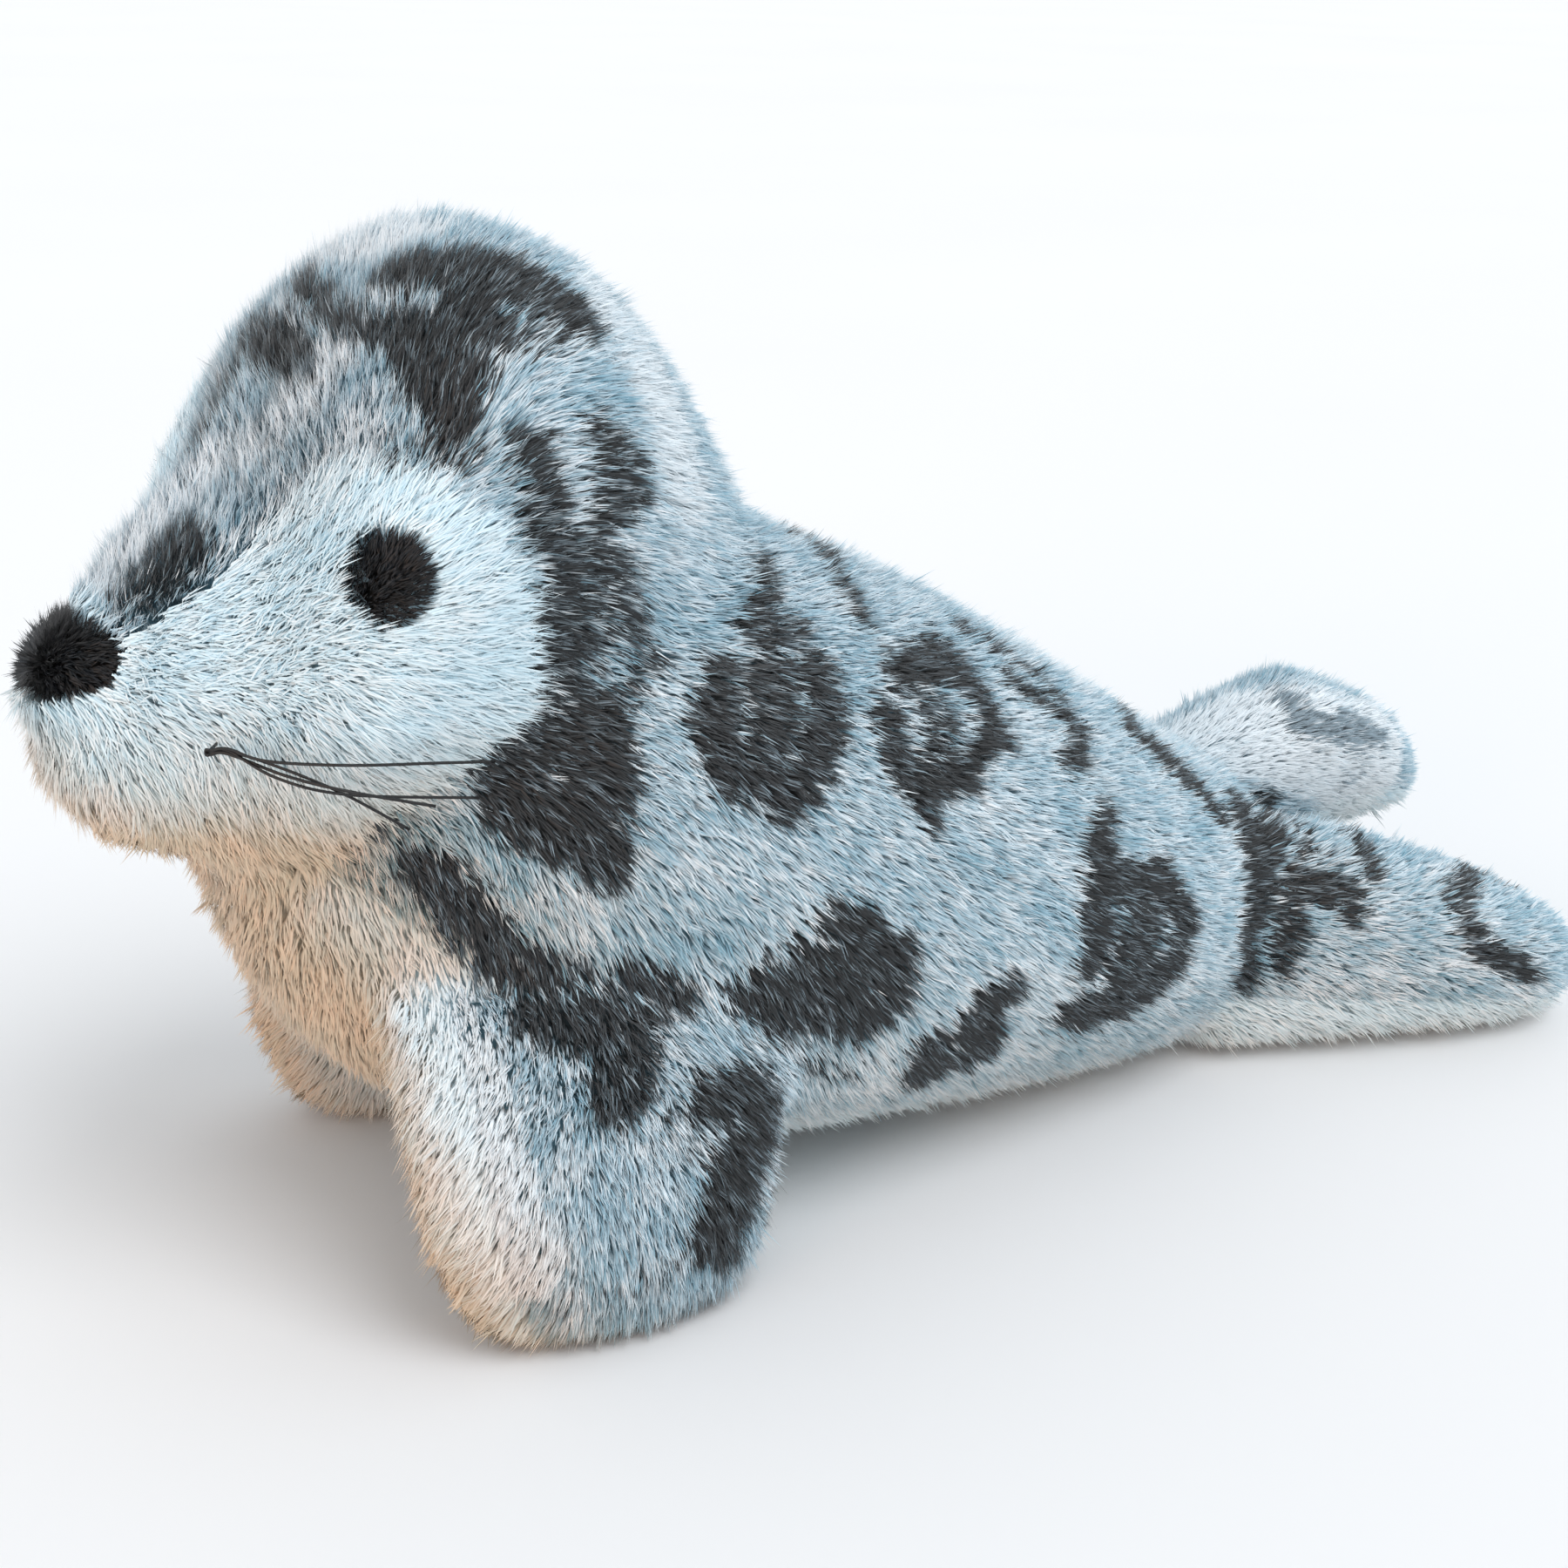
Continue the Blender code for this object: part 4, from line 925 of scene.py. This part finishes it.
def plush(
    name,
    root,
    dull,
    bright,
    ink_root="#08090a",
    ink_tip="#262c30",
    frost="#b0c8d6",
    warm="#f5cba9",
    sheen=0.25,
):
    """Pile fabric in sRGB hex colours: pale fibres, a dark print on them, painted shade towards the roots,
    and a warm tint of painted bounce light.
    """
    made, tree, output = blank(name)
    mark = add(tree, "ShaderNodeAttribute", attribute_name="fibre")
    parts = add(tree, "ShaderNodeSeparateColor", {"Color": mark.outputs["Color"]})
    ink_share, height, own = (parts.outputs[k] for k in ("Red", "Green", "Blue"))
    place = add(tree, "ShaderNodeTexCoord")
    patches = add(
        tree,
        "ShaderNodeTexNoise",
        {"Vector": place.outputs["Object"], "Scale": 1 / PATCH_WIDTH, "Detail": 3.0},
    )
    lifted = add(
        tree, "ShaderNodeMath", {0: patches.outputs["Fac"], 1: 1.3, 2: own}, operation="MULTIPLY_ADD"
    )
    light = add(tree, "ShaderNodeMapRange", {"Value": lifted.outputs[0], "From Min": 0.7, "From Max": 1.6})
    # Paler tips on some fibres: partly a real difference between fibres, partly painted glints.
    tip = add(
        tree, "ShaderNodeMix", {0: light.outputs[0], 6: linear(dull), 7: linear(bright)}, data_type="RGBA"
    )
    # Towards the root the colour darkens: painted shade deep in the pile.
    along = add(tree, "ShaderNodeMath", {0: height, 1: 1.2}, operation="POWER")
    lit = add(
        tree, "ShaderNodeMath", {0: light.outputs[0], 1: 0.4, 2: along.outputs[0]}, operation="MULTIPLY_ADD"
    )
    pale = add(
        tree, "ShaderNodeMix", {0: lit.outputs[0], 6: linear(root), 7: tip.outputs[2]}, data_type="RGBA"
    )
    # The warm colour, by the fourth mark, is painted warm bounce light.
    bounce_tinted = add(
        tree,
        "ShaderNodeMix",
        {0: mark.outputs["Alpha"], 6: pale.outputs[2], 7: linear(warm)},
        data_type="RGBA",
        blend_type="MULTIPLY",
    )
    # The ink darkens towards the root as well: painted shade.
    ink = add(tree, "ShaderNodeMix", {0: height, 6: linear(ink_root), 7: linear(ink_tip)}, data_type="RGBA")
    # A few dark fibres get pale tips: partly pale fibres of the print, partly painted glints.
    rare = add(tree, "ShaderNodeMapRange", {"Value": own, "From Min": 0.62, "From Max": 1.0, "To Max": 0.85})
    frosted_tip = add(tree, "ShaderNodeMath", {0: rare.outputs[0], 1: height}, operation="MULTIPLY")
    frosted = add(
        tree,
        "ShaderNodeMix",
        {0: frosted_tip.outputs[0], 6: ink.outputs[2], 7: linear(frost)},
        data_type="RGBA",
    )
    colour = add(
        tree, "ShaderNodeMix", {0: ink_share, 6: bounce_tinted.outputs[2], 7: frosted.outputs[2]}, data_type="RGBA"
    )
    shader = add(
        tree,
        "ShaderNodeBsdfPrincipled",
        {
            "Base Color": colour.outputs[2],
            "Roughness": PLUSH_ROUGHNESS,
            "IOR": PLUSH_IOR,
            "Sheen Weight": sheen,
            "Sheen Roughness": 0.4,
        },
    )
    tree.links.new(shader.outputs[0], output.inputs["Surface"])
    return made


# The cool blue cast of these colours is partly painted cool daylight: the white plush is white cloth under a
# bluish light, and the printed and the black plush carry the same painted cast over their own colours.
spotted_plush = plush("printed_polyester_plush", root="#5c8799", dull="#96c3d6", bright="#f3fbff")
white_plush = plush("white_polyester_plush", root="#d8f2fc", dull="#dbf5ff", bright="#f0fbff")
black_plush = plush(
    "black_polyester_plush",
    root="#020203",
    dull="#07090b",
    bright="#1a232b",
    ink_root="#020203",
    ink_tip="#07090b",
    sheen=0.05,
)
print("plush materials:", spotted_plush.name, white_plush.name, black_plush.name)

# %% [markdown]
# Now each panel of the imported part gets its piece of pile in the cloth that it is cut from.

# %% One piece for each panel
for node in PANELS:
    kind = kind_of(node)
    if kind in ("eye", "nose"):
        look, slot_name = black_plush, "black_plush"
    elif kind in ("face_patch", "chest_and_belly_panel") or kind.endswith("underside"):
        look, slot_name = white_plush, "white_plush"
    else:
        look, slot_name = spotted_plush, "spotted_plush"
    pile_piece(f"pile_{node}", look, node)

# %% [markdown]
# ## Whiskers
#
# On each cheek four ends of black sewing thread come out of one knot. The outer half of a thread lies over
# the pile of the cheek. A thread is a thin tube round a smooth line through a few points, with the twist of
# its two plies as a fine bump.

# %% Whisker threads
THREAD_DIAMETER = 0.45 * MM
THREAD_TWIST = 1.2 * MM
KNOT_PLACE = Vector((-131.8, -28.2, 94.5)) * MM
KNOT_OUTWARD = Vector((-0.599, -0.8, 0.023))
KNOT_RADIUS = 0.4 * MM
KNOT_WAVE = 0.25 * MM
KNOT_TURNS = 1.8
KNOT_STEPS = 26
# How far the stitch that holds the knot goes into the cheek
STITCH_DEPTHS = (4.5 * MM, 2 * MM, 0)
# The points of each thread on the left cheek, in millimetres
THREADS = [
    [
        (-131.7, -28.5, 94.8), (-129.7, -30.5, 95.3), (-126.3, -35.2, 94.5), (-117.8, -43.2, 95.0),
        (-103.8, -42.0, 92.7), (-95.1, -39.5, 90.7),
    ],
    [
        (-131.7, -28.5, 94.6), (-129.7, -30.4, 95.0), (-125.2, -36.1, 92.2), (-117.1, -40.5, 89.9),
        (-98.0, -40.6, 86.2),
    ],
    [
        (-131.7, -28.5, 94.4), (-129.5, -30.5, 94.8), (-125.6, -35.0, 93.9), (-118.0, -40.1, 90.3),
        (-107.1, -37.3, 82.1),
    ],
    [
        (-131.7, -28.5, 94.2), (-129.8, -30.5, 94.6), (-124.0, -36.9, 92.5), (-117.6, -42.2, 91.0),
        (-105.8, -43.6, 87.3),
    ],
]


def through(stops, steps=8):
    """A smooth line through points."""
    stops = [2 * stops[0] - stops[1], *stops, 2 * stops[-1] - stops[-2]]
    line = []
    for p, q, r, s in zip(stops, stops[1:], stops[2:], stops[3:]):
        for t in np.linspace(0, 1, steps, endpoint=False):
            square = (2 * p - 5 * q + 4 * r - s) * (t * t / 2)
            cube = (3 * q - 3 * r + s - p) * (t**3 / 2)
            line.append(q + (r - p) * (t / 2) + square + cube)
    return [*line, stops[-2]]


def tube(line, radius, sides=8):
    """Points and triangles of a closed round tube along a line."""
    points, triangles = [], []
    side = (line[1] - line[0]).orthogonal().normalized()
    for i, p in enumerate(line):
        ahead = (line[min(i + 1, len(line) - 1)] - line[max(i - 1, 0)]).normalized()
        side = (side - ahead * side.dot(ahead)).normalized()
        other = ahead.cross(side)
        for j in range(sides):
            turn = 2 * math.pi * j / sides
            points.append(p + (side * math.cos(turn) + other * math.sin(turn)) * radius)
    for i in range(len(line) - 1):
        for j in range(sides):
            a, b = i * sides + j, i * sides + (j + 1) % sides
            triangles += [(a, b, b + sides), (a, b + sides, a + sides)]
    for start, flip in ((0, True), ((len(line) - 1) * sides, False)):
        for j in range(1, sides - 1):
            triangles.append((start, start + j + flip, start + j + 1 - flip))
    return points, triangles


# A wave texture of scale 1 has one band in this many metres
WAVE_AT_SCALE_ONE = 2 * math.pi / 10


def thread_material():
    """Black polyester sewing thread: smooth, a little shiny, with a twist of two plies."""
    made, tree, output = blank("black_sewing_thread")
    place = add(tree, "ShaderNodeTexCoord")
    twist = add(
        tree,
        "ShaderNodeTexWave",
        {"Vector": place.outputs["Object"], "Scale": WAVE_AT_SCALE_ONE / THREAD_TWIST, "Distortion": 1.0},
        bands_direction="DIAGONAL",
    )
    raised = add(
        tree, "ShaderNodeBump", {"Height": twist.outputs["Fac"], "Distance": 0.1 * MM, "Strength": 0.6}
    )
    colour = add(
        tree,
        "ShaderNodeMix",
        {0: twist.outputs["Fac"], 6: linear("#050506"), 7: linear("#141416")},
        data_type="RGBA",
    )
    shader = add(
        tree,
        "ShaderNodeBsdfPrincipled",
        {"Base Color": colour.outputs[2], "Normal": raised.outputs[0], "Roughness": 0.45, "IOR": 1.5},
    )
    tree.links.new(shader.outputs[0], output.inputs["Surface"])
    return made


thread = thread_material()
for side in SIDES:
    mirror = Vector((1, -1 if side == "right" else 1, 1))
    lines = [through([Vector(p) * mirror * MM for p in stops]) for stops in THREADS]
    knot = KNOT_PLACE * mirror
    out = KNOT_OUTWARD * mirror
    loop = out.orthogonal().normalized() * KNOT_RADIUS
    around = [
        knot + loop * math.cos(a) + out.cross(loop) * math.sin(a) + out * (KNOT_WAVE * math.sin(2 * a))
        for a in np.linspace(0, 2 * math.pi * KNOT_TURNS, KNOT_STEPS)
    ]
    lines += [around, [knot - out * depth for depth in STITCH_DEPTHS]]
    points, triangles = [], []
    for line in lines:
        more, faces = tube(line, THREAD_DIAMETER / 2)
        triangles += [tuple(k + len(points) for k in face) for face in faces]
        points += more
    mesh = mesh_of(f"whisker_threads_{side}", [tuple(p) for p in points], triangles)
    mesh.shade_smooth()
    mesh.materials.append(thread)
    whiskers = bpy.data.objects.new(mesh.name, mesh)
    bpy.context.scene.collection.objects.link(whiskers)
    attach(whiskers, "root")
    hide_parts(f"whiskers_{side}")
    longest = max(sum((b - a).length for a, b in zip(line, line[1:])) for line in lines)
    print(f"{whiskers.name}: {len(triangles)} triangles, longest thread {longest * 1000:.0f} mm")

# %% [markdown]
# ## What the skin hides
#
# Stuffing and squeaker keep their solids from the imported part. They don't show, but someone may open the
# model, so they get materials of their own: polyester stuffing is matt and white, with fine curled fibres,
# and the squeaker is moulded in pale rubber-like vinyl.

# %% Stuffing and squeaker
def hidden_material(name, dark, pale, grain, roughness, bump):
    """A plain matt material with a fine grain, from two colours in sRGB hex."""
    made, tree, output = blank(name)
    place = add(tree, "ShaderNodeTexCoord")
    grains = add(
        tree,
        "ShaderNodeTexNoise",
        {"Vector": place.outputs["Object"], "Scale": 1 / grain, "Detail": 6.0, "Distortion": 1.5},
    )
    raised = add(tree, "ShaderNodeBump", {"Height": grains.outputs["Fac"], "Distance": bump, "Strength": 0.7})
    colour = add(
        tree, "ShaderNodeMix", {0: grains.outputs["Fac"], 6: linear(dark), 7: linear(pale)}, data_type="RGBA"
    )
    shader = add(
        tree,
        "ShaderNodeBsdfPrincipled",
        {"Base Color": colour.outputs[2], "Normal": raised.outputs[0], "Roughness": roughness, "IOR": 1.5},
    )
    tree.links.new(shader.outputs[0], output.inputs["Surface"])
    return made


fibrefill = hidden_material("polyester_fibrefill", "#d2d2cd", "#f4f4f0", 1.5 * MM, 0.95, 0.6 * MM)
vinyl = hidden_material("moulded_soft_vinyl", "#cfc8b8", "#e2dccd", 0.6 * MM, 0.5, 0.03 * MM)
for name in [*FILLED, "stuffing_wad", "squeaker_bulb", "squeaker_reed"]:
    look = vinyl if name.startswith("squeaker") else fibrefill
    nodes[name].data.materials.clear()
    nodes[name].data.materials.append(look)
print("hidden parts dressed:", len(FILLED) + 3)

# %% [markdown]
# ## Floor and light
#
# The photograph has a plain white ground. A wide floor of matt white paper keeps the toy's soft shadow, and
# its tone wavers very slightly, as paper's does, over some 30 cm.

# %% Floor
FLOOR_WIDTH = 12.0
PAPER_WAVE = 0.3
half = FLOOR_WIDTH / 2
floor_corners = [(-half, -half, 0), (half, -half, 0), (half, half, 0), (-half, half, 0)]
floor_mesh = mesh_of("floor", floor_corners, [(0, 1, 2), (0, 2, 3)])
paper, tree, output = blank("white_paper_ground")
grain = add(tree, "ShaderNodeTexNoise", {"Scale": FLOOR_WIDTH / PAPER_WAVE})
tone = add(
    tree,
    "ShaderNodeMix",
    {0: grain.outputs["Fac"], 6: linear("#f3f3f3"), 7: linear("#f7f7f7")},
    data_type="RGBA",
)
shader = add(tree, "ShaderNodeBsdfPrincipled", {"Base Color": tone.outputs[2], "Roughness": 0.9})
tree.links.new(shader.outputs[0], output.inputs["Surface"])
floor_mesh.materials.append(paper)
ground = bpy.data.objects.new("floor", floor_mesh)
bpy.context.scene.collection.objects.link(ground)
ground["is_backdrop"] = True
print("floor is", FLOOR_WIDTH, "m wide")

# %% [markdown]
# The light starts from an even white dome, which leaves no part of the toy black. Camera, glossy and
# transmission rays see it as pure white, as the ground of the photograph is.

# %% Dome
DOME_STRENGTH = 0.8

world = bpy.data.worlds.new("studio")
bpy.context.scene.world = world
world.use_nodes = True
world.node_tree.nodes.clear()
tree = world.node_tree
sky = add(tree, "ShaderNodeBackground", {"Color": linear("#f4faff"), "Strength": DOME_STRENGTH})
seen = add(tree, "ShaderNodeBackground", {"Color": linear("#ffffff"), "Strength": 1.0})
path = add(tree, "ShaderNodeLightPath")
either = add(
    tree,
    "ShaderNodeMath",
    {0: path.outputs["Is Camera Ray"], 1: path.outputs["Is Glossy Ray"]},
    operation="MAXIMUM",
)
any_seen = add(
    tree,
    "ShaderNodeMath",
    {0: either.outputs[0], 1: path.outputs["Is Transmission Ray"]},
    operation="MAXIMUM",
)
mixed = add(tree, "ShaderNodeMixShader", {0: any_seen.outputs[0], 1: sky.outputs[0], 2: seen.outputs[0]})
add(tree, "ShaderNodeOutputWorld", {"Surface": mixed.outputs[0]})
bpy.context.scene.view_settings.view_transform = "Standard"
print("dome strength", DOME_STRENGTH)

# %% [markdown]
# Two broad lights do the rest. Daylight comes down from above and from the side of the camera, so that the
# face and the flank are light and the throat lies in the head's shade. Warm light comes back low from the
# left, on the muzzle, the chest and the feet.

# %% Lamps
def broad_sun(name, towards, strength, spread, colour):
    """A sun with a wide disc, so that its shadows are soft; towards points at it."""
    lamp = bpy.data.lights.new(name, "SUN")
    lamp.energy = strength
    lamp.angle = math.radians(spread)
    lamp.color = linear(colour)[:3]
    holder = bpy.data.objects.new(name, lamp)
    bpy.context.scene.collection.objects.link(holder)
    holder.rotation_euler = Vector(towards).to_track_quat("Z", "Y").to_euler()
    return holder


broad_sun("daylight", (0.10, -0.52, 0.85), 1.15, 35, "#f8fbff")
broad_sun("warm_return", (-0.86, -0.48, 0.16), 0.8, 30, "#ffc08e")

# %% [markdown]
# ## Sizes and the end
#
# The pile may stand a little proud of the imported part's box, and no more. Both boxes are printed, so that
# they can be compared.

# %% Print both boxes and finish
visual_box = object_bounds()
added = [o for o in bpy.data.objects if o.name.startswith(("pile_", "whisker_threads_"))]
print("triangles added:", sum(len(o.data.polygons) for o in added))
boxes = {"cad": [list(corner) for corner in cad_box], "visual": [list(corner) for corner in visual_box]}
for name, box in boxes.items():
    print(name, "box in mm:", [[round(x * 1000, 1) for x in corner] for corner in box])
